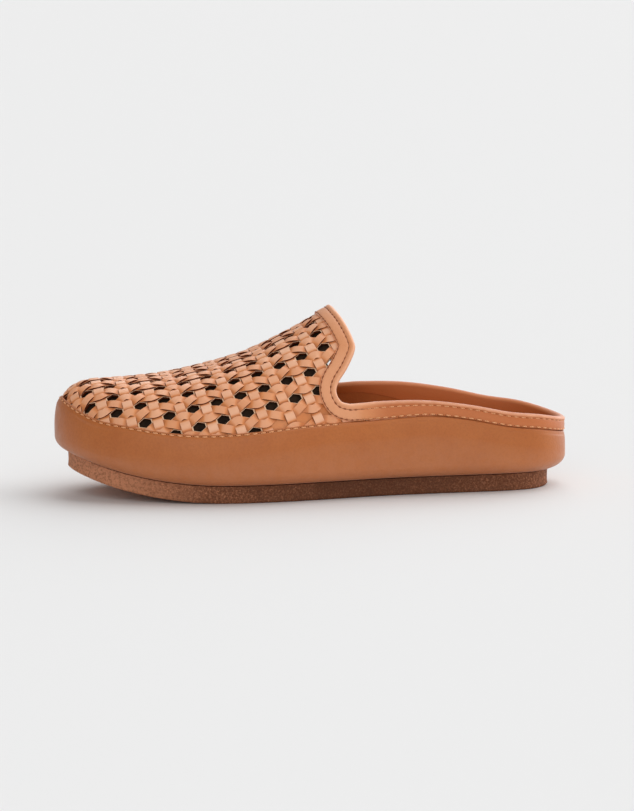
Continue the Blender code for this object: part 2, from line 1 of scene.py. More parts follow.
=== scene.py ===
"""The looks of a left slip-on clog: woven leather vamp, bound collar, wrapped platform and crepe sole.

The toe points to -X, the outer side of the foot is at -Y and the shoe stands on Z = 0. Lengths are in
metres. Every leather piece is laid over one last, whose surface is worked out from the platform's outline,
the footbed and the ridge line along the top of the foot.
"""

from __future__ import annotations

import logging
import math
from collections.abc import Sequence
from dataclasses import dataclass, field
from enum import Enum

import bpy
import numpy as np
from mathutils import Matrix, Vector

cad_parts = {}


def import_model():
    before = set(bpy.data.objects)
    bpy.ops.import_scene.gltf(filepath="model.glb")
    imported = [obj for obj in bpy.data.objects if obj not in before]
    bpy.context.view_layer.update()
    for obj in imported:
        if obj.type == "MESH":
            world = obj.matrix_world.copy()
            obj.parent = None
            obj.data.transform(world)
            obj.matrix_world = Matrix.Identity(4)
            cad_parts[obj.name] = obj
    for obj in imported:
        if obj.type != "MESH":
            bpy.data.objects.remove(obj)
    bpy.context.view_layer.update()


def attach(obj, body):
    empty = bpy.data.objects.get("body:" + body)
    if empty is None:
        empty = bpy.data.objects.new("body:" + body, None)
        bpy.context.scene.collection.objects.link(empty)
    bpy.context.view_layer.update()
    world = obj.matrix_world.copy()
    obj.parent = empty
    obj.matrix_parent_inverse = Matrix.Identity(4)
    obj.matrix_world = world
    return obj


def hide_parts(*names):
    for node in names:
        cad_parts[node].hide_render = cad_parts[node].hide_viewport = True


LOG = logging.getLogger("clog")
SEED = 7
BODY = "root"
TURN_STEP = 1e-4
SLOPE_STEP = 2e-4
TABLE_TURNS = 2401
HALVINGS = 28

Array = np.ndarray
Colour = tuple[float, float, float]
Socket = bpy.types.NodeSocket
Material = bpy.types.Material
Object = bpy.types.Object


class Side(Enum):
    """The two sides of the foot, as the sign of Y."""

    OUTER = -1
    INNER = 1


class StripRun(Enum):
    """The three ways in which the vamp's strips run."""

    CROSS = "cross_strips"
    ZIG = "zig_strips"
    ZAG = "zag_strips"


class Look(Enum):
    """The faces of a leather strip, by the order of its materials."""

    GRAIN = 0
    CUT_EDGE = 1
    # The raw underside and the cut sides, in a dark colour that is painted shade along the strips' edges.
    FLESH_AND_SHADE = 2


class Fold(Enum):
    """The two sides of the folded binding, by the order of its materials."""

    BAND = 0
    LINING = 1


@dataclass(frozen=True)
class Breadth:
    """Half the platform's breadth at a share of the length, and how far its middle lies inwards."""

    along: float
    from_ball: float
    from_heel: float
    middle: float


@dataclass(frozen=True)
class Ridge:
    """The ridge line's height as a share of the instep's, and the section's roundness."""

    along: float
    height: float
    roundness: float


@dataclass(frozen=True)
class Station:
    """A height, as a share, at a share of the length."""

    along: float
    height: float


BREADTHS = (
    Breadth(0.05, 0.550, 0.000, 0.036),
    Breadth(0.10, 0.725, 0.000, 0.024),
    Breadth(0.20, 0.912, 0.000, 0.010),
    Breadth(0.32, 1.000, 0.000, 0.000),
    Breadth(0.42, 0.945, 0.000, -0.018),
    Breadth(0.52, 0.500, 0.480, -0.028),
    Breadth(0.62, 0.180, 0.810, -0.020),
    Breadth(0.72, 0.000, 1.020, -0.010),
    Breadth(0.80, 0.000, 1.000, -0.004),
    Breadth(0.88, 0.000, 0.960, 0.000),
    Breadth(0.95, 0.000, 0.763, 0.000),
)
RIDGES = (
    Ridge(0.10, 0.557, 2.60),
    Ridge(0.16, 0.592, 2.40),
    Ridge(0.22, 0.629, 2.25),
    Ridge(0.30, 0.687, 2.15),
    Ridge(0.38, 0.757, 2.05),
    Ridge(0.46, 0.870, 1.95),
    Ridge(0.54, 0.996, 1.90),
    Ridge(0.62, 1.060, 2.05),
    Ridge(0.92, 1.120, 2.30),
)
THROATS = (
    Station(0.5410, 1.000),
    Station(0.5540, 0.865),
    Station(0.5660, 0.680),
    Station(0.5665, 0.570),
    Station(0.5492, 0.385),
    Station(0.5303, 0.235),
    Station(0.5245, 0.130),
    Station(0.5325, 0.030),
    Station(0.5500, -0.004),
)
RIMS = (
    Station(0.56, 1.00),
    Station(0.62, 1.04),
    Station(0.70, 1.01),
    Station(0.79, 0.78),
    Station(0.87, 0.46),
    Station(0.94, 0.28),
    Station(1.00, 0.00),
)
WRAP_EDGES = (
    Station(0.00, 1.010),
    Station(0.03, 0.960),
    Station(0.06, 0.930),
    Station(0.11, 0.952),
    Station(0.20, 0.972),
    Station(0.28, 0.992),
    Station(0.36, 1.028),
    Station(0.47, 1.100),
    Station(0.55, 1.118),
)


def named(rows: tuple, name: str) -> list[float]:
    """One named column of a table."""
    return [getattr(row, name) for row in rows]


def through(stations: Sequence[float], values: Sequence[float], at: Array) -> Array:
    """A smooth curve through values given at stations.

    Args:
        stations: Places of the values, rising.
        values: The values there.
        at: Where to read the curve.

    Returns:
        The curve's values, held at both ends.
    """
    places = np.asarray(stations, float)
    heights = np.asarray(values, float)
    at = np.clip(np.asarray(at, float), places[0], places[-1])
    slopes = np.gradient(heights, places)
    index = np.clip(np.searchsorted(places, at, side="right") - 1, 0, len(places) - 2)
    span = places[index + 1] - places[index]
    part = (at - places[index]) / span
    start = (1 + 2 * part) * (1 - part) ** 2
    end = part**2 * (3 - 2 * part)
    rise = part * (1 - part) ** 2 * span
    fall = part**2 * (part - 1) * span
    return (
        start * heights[index]
        + end * heights[index + 1]
        + rise * slopes[index]
        + fall * slopes[index + 1]
    )


def eased(low: float, high: float, at: Array) -> Array:
    """A soft step from 0 at low to 1 at high."""
    part = np.clip((np.asarray(at, float) - low) / (high - low), 0, 1)
    return part**2 * (3 - 2 * part)


def unit(vectors: Array) -> Array:
    """Vectors brought to length one."""
    return vectors / np.maximum(np.linalg.norm(vectors, axis=-1, keepdims=True), 1e-12)


def share_along(turn: Array) -> Array:
    """The share of the length, for a turn from 0 at the toe to 1 at the heel and 2 at the toe again."""
    return (1 - np.cos(math.pi * np.asarray(turn, float))) / 2


def inside(points: Array, polygon: Array) -> Array:
    """Which points lie inside a closed polygon.

    Args:
        points: Places in a plane.
        polygon: The corners in order.

    Returns:
        True for each point inside.
    """
    x, y = points[:, 0, None], points[:, 1, None]
    x0, y0 = polygon[:, 0], polygon[:, 1]
    x1, y1 = np.roll(x0, -1), np.roll(y0, -1)
    crosses = (y0 > y) != (y1 > y)
    with np.errstate(divide="ignore", invalid="ignore"):
        at = x0 + (y - y0) * (x1 - x0) / (y1 - y0)
    return (crosses & (x < at)).sum(axis=1) % 2 == 1


def gone_along(points: Array) -> Array:
    """The distance gone at each point of a line."""
    return np.concatenate([[0], np.cumsum(np.linalg.norm(np.diff(points, axis=0), axis=1))])


def read_line(at: Array, gone: Array, line: Array) -> Array:
    """The points of a line at distances along it."""
    return np.stack([np.interp(at, gone, line[:, axis]) for axis in range(line.shape[1])], axis=-1)


@dataclass
class Last:
    """The form that the shoe is built over, with the sizes of the pieces laid on it."""

    length: float = 0.270
    ball_width: float = 0.1035
    heel_width: float = 0.0710
    toe_radius: float = 0.0330
    heel_radius: float = 0.0340
    instep_height: float = 0.0955
    side_rim_height: float = 0.0500
    heel_rim_height: float = 0.0365
    toe_spring: float = 0.0137
    spring_start: float = 0.31
    outsole_thickness: float = 0.0090
    outsole_toe_inset: float = 0.0068
    outsole_heel_inset: float = 0.0092
    platform_thickness: float = 0.0140
    platform_round: float = 0.0072
    wrap_height: float = 0.0362
    wrap_toe_shoulder: float = 0.0165
    wrap_heel_shoulder: float = 0.0110
    wrap_leather: float = 0.0016
    upper_wall: float = 0.0020
    insole_thickness: float = 0.0034
    binding_throat_width: float = 0.0092
    binding_heel_width: float = 0.0074
    inner_rim_rise: float = 0.0015
    binding_to_wrap: float = 0.0006
    gap: float = 0.0003
    toe_middle: float = 0.050
    ridge_start: float = 0.10
    ridge_end: float = 0.92
    ridge_side: float = 0.040
    rim_start: float = 0.60
    band_end: float = 0.74
    inner_rise_end: float = 0.95
    wrap_front: float = 0.53
    centre_shift: float = field(init=False)

    def __post_init__(self) -> None:
        """Finds how far the outline's middle lies off Y = 0."""
        across = self.outline(np.linspace(0, 2, 721))[:, 1]
        self.centre_shift = float(across.max() + across.min()) / 2

    @property
    def upper_inset(self) -> float:
        """How far the upper's foot lies inside the platform's outline."""
        return self.wrap_leather + self.gap

    def settled(self, points: Array) -> Array:
        """Points moved sideways, so that the outline is centred on Y = 0.

        Args:
            points: Points of a piece.

        Returns:
            The points, moved.
        """
        moved = np.array(points, float)
        moved[..., 1] -= self.centre_shift
        return moved

    def outline(self, turn: Array, inset: float | Array = 0.0) -> Array:
        """Points of the platform's outline seen from above.

        Args:
            turn: Where on the outline.
            inset: How far to move inwards.

        Returns:
            Places in plan.
        """

        def at(turn: Array) -> Array:
            """Points of the outline itself.

            Args:
                turn: Where on the outline.

            Returns:
                Places in plan.
            """
            share = share_along(turn)
            inner = [
                (row.from_ball * self.ball_width + row.from_heel * self.heel_width)
                / 4
                / math.sqrt(row.along * (1 - row.along))
                for row in BREADTHS
            ]
            tips = [math.sqrt(radius * self.length / 2) for radius in (self.toe_radius, self.heel_radius)]
            stations = [0.0, *named(BREADTHS, "along"), 1.0]
            bow = through(stations, [tips[0], *inner, tips[1]], share)
            middles = [self.toe_middle, *named(BREADTHS, "middle"), 0.0]
            middle = through(stations, middles, share) * self.ball_width
            return np.stack([(share - 0.5) * self.length, middle - bow * np.sin(math.pi * turn)], axis=-1)

        turn = np.asarray(turn, float)
        along = unit(at(turn + TURN_STEP) - at(turn - TURN_STEP))
        outward = np.stack([along[..., 1], -along[..., 0]], axis=-1)
        return at(turn) - np.asarray(inset, float)[..., None] * outward

    def spring(self, share: Array) -> Array:
        """How high the sole's underside is off the floor."""
        return self.toe_spring * np.clip((self.spring_start - share) / self.spring_start, 0, None) ** 2

    def floor_height(self, share: Array) -> Array:
        """The top of the platform inside the cup."""
        return self.spring(share) + self.outsole_thickness + self.gap + self.platform_thickness

    def rim_height(self, share: Array) -> Array:
        """The height of the collar's rim beside and behind the heel, on the outer side."""
        part = through(named(RIMS, "along"), named(RIMS, "height"), share)
        return self.heel_rim_height + part * (self.side_rim_height - self.heel_rim_height)

    def inner_rise(self, share: Array) -> Array:
        """How much higher the rim is on the inner side."""
        return self.inner_rim_rise * (1 - eased(self.rim_start, self.inner_rise_end, share))

    def binding_width(self, share: Array) -> Array:
        """The width of the collar's band, which narrows from the throat to the heel."""
        throat, heel = self.binding_throat_width, self.binding_heel_width
        return throat + eased(self.rim_start, self.band_end, share) * (heel - throat)

    def band_width(self, flat: Array) -> Array:
        """The width of the collar's band along the topline, more where the inner side's rim is higher."""
        share = flat[:, 0] / self.length + 0.5
        return self.binding_width(share) + self.inner_rise(share) * eased(0, self.ball_width / 4, flat[:, 1])

    def wrap_edge(self, share: Array) -> Array:
        """The height of the wrap's upper edge.

        Args:
            share: Shares of the length.

        Returns:
            Heights over the floor.
        """
        part = through(named(WRAP_EDGES, "along"), named(WRAP_EDGES, "height"), share)
        front = self.spring(share) + part * self.wrap_height
        back = self.rim_height(share) - self.binding_width(share) - self.binding_to_wrap
        return front + eased(self.wrap_front, self.rim_start, share) * (back - front)

    def outsole_inset(self, share: Array) -> Array:
        """How far the outsole's side lies inside the platform's outline."""
        return self.outsole_toe_inset + share * (self.outsole_heel_inset - self.outsole_toe_inset)

    def wrap_shoulder(self, share: Array) -> Array:
        """How far the wrap's widest line lies under its upper edge."""
        toe, heel = self.wrap_toe_shoulder, self.wrap_heel_shoulder
        return toe + eased(0, self.rim_start, share) * (heel - toe)

    def ridge_of(self, turn: Array) -> tuple[Array, Array, Array]:
        """Where the section at a turn meets the ridge.

        Args:
            turn: Where on the outline the section stands.

        Returns:
            The place in plan, the height and the section's roundness.
        """
        share = self.ridge_start + (self.ridge_end - self.ridge_start) * share_along(turn)
        alongs = named(RIDGES, "along")
        height = through(alongs, named(RIDGES, "height"), share) * self.instep_height
        roundness = through(alongs, named(RIDGES, "roundness"), share)
        side = np.full_like(share, self.ridge_side * self.ball_width)
        place = np.stack([(share - 0.5) * self.length, side], axis=-1)
        return place, height + self.spring(share), roundness

    def point(self, turn: Array, reach: Array) -> Array:
        """Points of the upper's outer face; reach is 0 on the ridge and 1 at the foot of the wall.

        Args:
            turn: Where on the outline.
            reach: How far down the wall, from 0 on the ridge to 1 at its foot.

        Returns:
            Points in space.
        """
        turn = np.asarray(turn, float)
        reach = np.clip(reach, 0, 1)
        ridge, top, roundness = self.ridge_of(turn)
        foot = self.outline(turn, self.upper_inset)
        low = self.floor_height(share_along(turn)) + self.gap
        angle = reach * math.pi / 2
        out = np.sin(angle) ** (2 / roundness)
        up = np.cos(angle).clip(0) ** (2 / roundness)
        plan = ridge + (foot - ridge) * out[..., None]
        return np.concatenate([plan, (low + (top - low) * up)[..., None]], axis=-1)

    def reach_at(self, turn: Array, height: Array) -> Array:
        """The reach at which the wall has a height.

        Args:
            turn: Where on the outline.
            height: Heights over the floor.

        Returns:
            The reach there.
        """
        _, top, roundness = self.ridge_of(turn)
        low = self.floor_height(share_along(turn)) + self.gap
        up = np.clip((height - low) / (top - low), 0, 1)
        return np.arccos(up ** (roundness / 2)) / (math.pi / 2)

    def flat_place(self, turn: Array, reach: Array) -> Array:
        """Places on the upper's flat pattern."""
        ridge, _, _ = self.ridge_of(np.asarray(turn, float))
        return ridge + (self.outline(turn, self.upper_inset) - ridge) * np.asarray(reach)[..., None]

    def turn_and_reach(self, flat: Array) -> tuple[Array, Array]:
        """The turn and reach of places on the flat pattern.

        Args:
            flat: Places on the flat pattern.

        Returns:
            The turn and the reach of each place.
        """
        flat = np.asarray(flat, float)
        turns = np.linspace(0, 2, TABLE_TURNS)
        foot_line = self.outline(turns, self.upper_inset)
        ridge_line = self.ridge_of(turns)[0]
        start, end = self.ridge_of(np.array([0.0, 1.0]))[0]
        tips = self.outline(np.array([0.0, 1.0]), self.upper_inset)
        middle = np.interp(
            flat[:, 0],
            [tips[0, 0], start[0], end[0], tips[1, 0]],
            [tips[0, 1], start[1], end[1], tips[1, 1]],
        )
        low = np.where(flat[:, 1] <= middle, 0.0, 1.0)
        high = low + 1.0
        for _ in range(HALVINGS):
            half = (low + high) / 2
            ridge, foot = read_line(half, turns, ridge_line), read_line(half, turns, foot_line)
            arm, gone = foot - ridge, flat - ridge
            ahead = arm[:, 0] * gone[:, 1] - arm[:, 1] * gone[:, 0] > 0
            low = np.where(ahead, half, low)
            high = np.where(ahead, high, half)
        turn = (low + high) / 2
        ridge, _, _ = self.ridge_of(turn)
        arm = np.linalg.norm(self.outline(turn, self.upper_inset) - ridge, axis=1)
        return turn, np.linalg.norm(flat - ridge, axis=1) / arm

    def surface(self, flat: Array) -> Array:
        """Points of the upper's outer face over the flat pattern."""
        return self.point(*self.turn_and_reach(flat))

    def frame(self, flat: Array) -> tuple[Array, Array, Array, Array]:
        """Points, outward normals and both slopes of the upper's outer face.

        Args:
            flat: Places on the flat pattern.

        Returns:
            The points, the outward normals, and how the points move with X and with Y of the pattern.
        """
        by_x, by_y = (
            (self.surface(flat + step) - self.surface(flat - step)) / (2 * SLOPE_STEP)
            for step in np.diag([SLOPE_STEP, SLOPE_STEP])
        )
        return self.surface(flat), unit(np.cross(by_x, by_y)), by_x, by_y

    def wall_frame(self, turn: Array, reach: Array) -> tuple[Array, Array]:
        """Points and outward normals of the upper's outer face at a turn and reach of any shape.

        Args:
            turn: Where on the outline.
            reach: How far down the wall, from 0 on the ridge to 1 at its foot.

        Returns:
            The points and the normals.
        """
        flat = self.flat_place(turn, reach)
        here, normal, _, _ = self.frame(flat.reshape(-1, 2))
        return here.reshape(*flat.shape[:-1], 3), normal.reshape(*flat.shape[:-1], 3)

    def slide(self, flat: Array, targets: Array, rounds: int = 4) -> Array:
        """Places on the flat pattern whose surface points lie nearest the targets.

        Args:
            flat: Places on the flat pattern.
            targets: A point in space for each place.
            rounds: How often to come nearer.

        Returns:
            The places, moved.
        """
        flat = np.array(flat, float)
        for _ in range(rounds):
            here, _, by_x, by_y = self.frame(flat)
            miss = targets - here
            a, b, c = (by_x**2).sum(1), (by_x * by_y).sum(1), (by_y**2).sum(1)
            e, f = (by_x * miss).sum(1), (by_y * miss).sum(1)
            scale = a * c - b * b
            flat += np.stack([(c * e - b * f) / scale, (a * f - b * e) / scale], axis=1)
        return flat

    def topline_side(self, side: Side, count: int = 160) -> Array:
        """Half of the topline on the flat pattern, from the peak to the back of the heel.

        Args:
            side: Which side of the foot.
            count: How many places on each of its two parts.

        Returns:
            Places on the flat pattern.
        """
        rows = np.linspace(0, len(THROATS) - 1, count)
        order = np.arange(len(THROATS))
        outer = side is Side.OUTER
        rise = 0.0 if outer else 1.0
        corner = np.array(THROATS[-1].along)
        rim = self.rim_height(corner) + rise * self.inner_rise(corner)
        along = through(order, named(THROATS, "along"), rows)
        height = through(order, named(THROATS, "height"), rows) * (self.instep_height - rim) + rim
        low, high = np.zeros(count), np.ones(count)
        for _ in range(HALVINGS):
            half = (low + high) / 2
            turn = half if outer else 2 - half
            point = self.point(turn, self.reach_at(turn, height))
            ahead = point[:, 0] < (along - 0.5) * self.length
            low = np.where(ahead, half, low)
            high = np.where(ahead, high, half)
        turn = (low + high) / 2 if outer else 2 - (low + high) / 2
        throat = self.flat_place(turn, self.reach_at(turn, height))
        start = math.acos(1 - 2 * self.rim_start) / math.pi
        turn = np.linspace(start, 1, count)
        turn = turn if outer else 2 - turn
        share = share_along(turn)
        rim = self.rim_height(share) + rise * self.inner_rise(share)
        return np.concatenate([throat, self.flat_place(turn, self.reach_at(turn, rim))])

    def evenly(self, flat: Array, count: int) -> Array:
        """A closed run of places, spread evenly over the surface.

        Args:
            flat: Places on the flat pattern.
            count: How many places to spread.

        Returns:
            The spread places.
        """
        closed = np.vstack([flat, flat[:1]])
        gone = gone_along(self.surface(closed))
        return read_line(np.linspace(0, gone[-1], count, endpoint=False), gone, closed)

    def topline(self, count: int) -> Array:
        """The collar's edge as a closed run: peak, outer side, heel, inner side.

        Args:
            count: How many places.

        Returns:
            Places on the flat pattern.
        """
        outer = self.topline_side(Side.OUTER)
        inner = self.topline_side(Side.INNER)[::-1]
        return self.evenly(np.vstack([outer, inner[1:-1]]), count)

    def into_leather(self, edge: Array) -> Array:
        """The direction on the surface that points away from the opening, along a closed run.

        Args:
            edge: The topline on the flat pattern.

        Returns:
            A direction for each place.
        """
        points, normal, _, _ = self.frame(edge)
        along = unit(np.roll(points, -1, axis=0) - np.roll(points, 1, axis=0))
        return np.cross(along, normal)

    def set_in(self, edge: Array, distance: float | Array) -> Array:
        """A closed run moved over the surface, away from the opening."""
        away = np.asarray(distance, float)[..., None]
        return self.slide(edge, self.surface(edge) + self.into_leather(edge) * away)


def grid_faces(rows: int, columns: int, around: bool = False, flip: bool = False) -> Array:
    """Four-sided faces of a grid of points.

    Args:
        rows: How many rows of points.
        columns: How many points in a row.
        around: Whether each row closes on itself.
        flip: Whether to turn the faces over.

    Returns:
        Corner numbers, four to a face.
    """
    row, column = np.indices((rows - 1, columns if around else columns - 1)).reshape(2, -1)
    after = (column + 1) % columns
    near, far = row * columns, (row + 1) * columns
    faces = np.stack([near + column, near + after, far + after, far + column], axis=-1)
    return faces[:, ::-1] if flip else faces


def tube_faces(rings: int, sides: int) -> list[Array]:
    """The faces of a tube of rings, and of its two flat ends."""
    ends = np.array([np.arange(sides)[::-1], np.arange(sides) + (rings - 1) * sides])
    return [grid_faces(rings, sides, around=True), ends]


def placed(name: str, data: bpy.types.ID) -> Object:
    """A new object in the scene for a mesh, lamp or camera.

    Args:
        name: Its name.
        data: The mesh, lamp or camera.

    Returns:
        The object, linked to the scene.
    """
    obj = bpy.data.objects.new(name, data)
    bpy.context.scene.collection.objects.link(obj)
    return obj


@dataclass
class MeshPlan:
    """Points, faces and painted values gathered for one object."""

    points: list[Array] = field(default_factory=list)
    faces: list[Array] = field(default_factory=list)
    looks: list[Array] = field(default_factory=list)
    tones: list[Array] = field(default_factory=list)
    wear_and_sheen_masks: list[Array] = field(default_factory=list)
    count: int = 0

    def add(
        self,
        points: Array,
        faces: list[Array],
        looks: list[Array] | None = None,
        tone: float | Array = 0.0,
        wear_and_sheen_mask: float | Array = 0.0,
    ) -> None:
        """Adds one piece of mesh.

        Args:
            points: Its points.
            faces: Arrays of faces, each with as many corners to a face as it has columns.
            looks: The material number of each face, in arrays like the faces.
            tone: How much lighter or darker the points are, from -1 to 1.
            wear_and_sheen_mask: How much rubbing and painted reflection lighten the points, from 0 to 1.
        """
        for number, corners in enumerate(faces):
            self.faces.append(corners + self.count)
            self.looks.append(looks[number] if looks else np.zeros(len(corners), int))
        self.points.append(points)
        self.tones.append(np.broadcast_to(tone, len(points)).astype(float))
        self.wear_and_sheen_masks.append(np.broadcast_to(wear_and_sheen_mask, len(points)).astype(float))
        self.count += len(points)

    def fill(self, first: int, around: int, flip: bool = False) -> None:
        """Closes a ring that runs toe, outer side, heel, inner side, with faces across the foot.

        Args:
            first: The number of the ring's first point.
            around: How many points the ring has.
            flip: Whether to turn the faces over.
        """
        k = np.arange(1, around // 2 - 1)
        quads = np.stack([k, k + 1, around - k - 1, around - k], axis=1) + first
        tips = np.array([[0, 1, around - 1], [around // 2 - 1, around // 2, around // 2 + 1]]) + first
        for corners in (quads, tips):
            self.faces.append(corners[:, ::-1] if flip else corners)
            self.looks.append(np.zeros(len(corners), int))

    def build(self, name: str, last: Last, materials: list[Material], sharp: float = 50.0) -> Object:
        """Makes the object.

        Args:
            name: Its name.
            last: The last, which centres the points.
            materials: Its materials, in the order of the looks.
            sharp: The angle in degrees past which an edge is sharp.

        Returns:
            The new object, linked to the scene.
        """
        mesh = bpy.data.meshes.new(name)
        points = last.settled(np.concatenate(self.points))
        corners = np.concatenate([part.ravel() for part in self.faces])
        totals = np.concatenate([np.full(len(part), part.shape[1]) for part in self.faces])
        mesh.vertices.add(len(points))
        mesh.vertices.foreach_set("co", points.ravel())
        mesh.loops.add(len(corners))
        mesh.loops.foreach_set("vertex_index", corners.astype(np.int32))
        mesh.polygons.add(len(totals))
        starts = np.concatenate([[0], np.cumsum(totals)[:-1]]).astype(np.int32)
        mesh.polygons.foreach_set("loop_start", starts)
        mesh.polygons.foreach_set("material_index", np.concatenate(self.looks).astype(np.int32))
        for label, values in (("tone", self.tones), ("wear_and_sheen_mask", self.wear_and_sheen_masks)):
            attribute = mesh.attributes.new(label, "FLOAT", "POINT")
            attribute.data.foreach_set("value", np.concatenate(values))
        mesh.update(calc_edges=True)
        mesh.validate()
        mesh.shade_smooth()
        mesh.set_sharp_from_angle(angle=math.radians(sharp))
        for material in materials:
            mesh.materials.append(material)
        return placed(name, mesh)


class Nodes:
    """A short way to lay out a material's nodes."""

    def __init__(self, name: str) -> None:
        """Starts a material with its shader.

        Args:
            name: The material's name.
        """
        self.material = bpy.data.materials.new(name)
        self.material.use_nodes = True
        self.tree = self.material.node_tree
        self.shader = self.tree.nodes["Principled BSDF"]

    def add(self, kind: str, **settings: object) -> bpy.types.Node:
        """Adds a node and sets its properties.

        Args:
            kind: The node's type.
            settings: Its properties.

        Returns:
            The node.
        """
        node = self.tree.nodes.new(kind)
        for key, value in settings.items():
            setattr(node, key, value)
        return node

    def join(self, source: Socket, target: Socket) -> None:
        """Links two sockets."""
        self.tree.links.new(source, target)

    def place(self) -> Socket:
        """The object's own coordinates, in metres."""
        return self.add("ShaderNodeTexCoord").outputs["Object"]

    def noise(self, place: Socket, size: float, detail: float = 3.0, rough: float = 0.5) -> Socket:
        """Cloudy noise whose clouds are about the given size across.

        Args:
            place: The coordinates to read it at.
            size: The clouds' size in metres.
            detail: How many finer layers.
            rough: How strong they are.

        Returns:
            The noise, from 0 to 1.
        """
        node = self.add("ShaderNodeTexNoise")
        node.inputs["Scale"].default_value = 1 / size
        node.inputs["Detail"].default_value = detail
        node.inputs["Roughness"].default_value = rough
        self.join(place, node.inputs["Vector"])
        return node.outputs["Fac"]

    def pebbles(self, place: Socket, size: float) -> Socket:
        """The distance to the middle of small round cells of the given size.

        Args:
            place: The coordinates to read it at.
            size: The cells' size in metres.

        Returns:
            The distance.
        """
        node = self.add("ShaderNodeTexVoronoi")
        node.inputs["Scale"].default_value = 1 / size
        self.join(place, node.inputs["Vector"])
        return node.outputs["Distance"]

    def painted(self, name: str) -> Socket:
        """A value painted on the mesh's points."""
        return self.add("ShaderNodeAttribute", attribute_name=name).outputs["Fac"]

    def between(self, value: Socket, low: float, high: float, out_low: float, out_high: float) -> Socket:
        """A value carried from one range to another.

        Args:
            value: The value.
            low: The start of its range.
            high: The end of its range.
            out_low: What the start becomes.
            out_high: What the end becomes.

        Returns:
            The value in its new range.
        """
        node = self.add("ShaderNodeMapRange")
        for key, number in zip(("From Min", "From Max", "To Min", "To Max"), (low, high, out_low, out_high)):
            node.inputs[key].default_value = number
        self.join(value, node.inputs["Value"])
        return node.outputs["Result"]

    def times(self, first: Socket, second: Socket | float) -> Socket:
        """A value times another or times a number.

        Args:
            first: The value.
            second: What it is multiplied by.

        Returns:
            The product.
        """
        node = self.add("ShaderNodeMath", operation="MULTIPLY")
        self.join(first, node.inputs[0])
        if isinstance(second, float):
            node.inputs[1].default_value = second
        else:
            self.join(second, node.inputs[1])
        return node.outputs[0]

    def ramp(self, value: Socket, colours: list[tuple[float, Colour]]) -> Socket:
        """Colours laid along a value.

        Args:
            value: The value.
            colours: Places on it, each with its colour.

        Returns:
            The colour.
        """
        node = self.add("ShaderNodeValToRGB")
        bands = node.color_ramp.elements
        while len(bands) < len(colours):
            bands.new(0.5)
        for band, (at, colour) in zip(bands, colours):
            band.position = at
            band.color = (*colour, 1)
        self.join(value, node.inputs["Fac"])
        return node.outputs["Color"]

    def mixed(self, share: Socket, first: Socket, second: Colour) -> Socket:
        """A colour mixed with a plain one by a share, which is held between 0 and 1.

        Args:
            share: How much of the plain colour.
            first: The colour.
            second: The plain colour.

        Returns:
            The mixed colour.
        """
        node = self.add("ShaderNodeMix", data_type="RGBA", clamp_factor=True)
        self.join(share, node.inputs[0])
        self.join(first, node.inputs[6])
        node.inputs[7].default_value = (*second, 1)
        return node.outputs[2]

    def bump(self, height: Socket, depth: float, after: Socket | None = None) -> Socket:
        """A relief of the given depth in metres, on top of another.

        Args:
            height: The relief.
            depth: How deep it is.
            after: The relief that it lies on.

        Returns:
            The surface's direction.
        """
        node = self.add("ShaderNodeBump")
        node.inputs["Strength"].default_value = 1.0
        node.inputs["Distance"].default_value = depth
        self.join(height, node.inputs["Height"])
        if after is not None:
            self.join(after, node.inputs["Normal"])
        return node.outputs["Normal"]

    def finish(self, colour: Socket, roughness: Socket, normal: Socket, **plain: float) -> Material:
        """Joins the colour, roughness and relief to the shader, and sets its plain sockets.

        Args:
            colour: The colour.
            roughness: The roughness.
            normal: The surface's direction.
            plain: Numbers for the shader's other sockets, by name.

        Returns:
            The finished material.
        """
        self.join(colour, self.shader.inputs["Base Color"])
        self.join(roughness, self.shader.inputs["Roughness"])
        self.join(normal, self.shader.inputs["Normal"])
        for key, value in plain.items():
            self.shader.inputs[key.replace("_", " ")].default_value = value
        return self.material


def linear(red: int, green: int, blue: int) -> Colour:
    """A display colour, from 0 to 255, as the shader wants it.

    Args:
        red: Red.
        green: Green.
        blue: Blue.

    Returns:
        The colour in linear light, from 0 to 1.
    """

    def channel(value: int) -> float:
        """One channel in linear light."""
        part = value / 255
        return part / 12.92 if part <= 0.04045 else ((part + 0.055) / 1.055) ** 2.4

    return channel(red), channel(green), channel(blue)


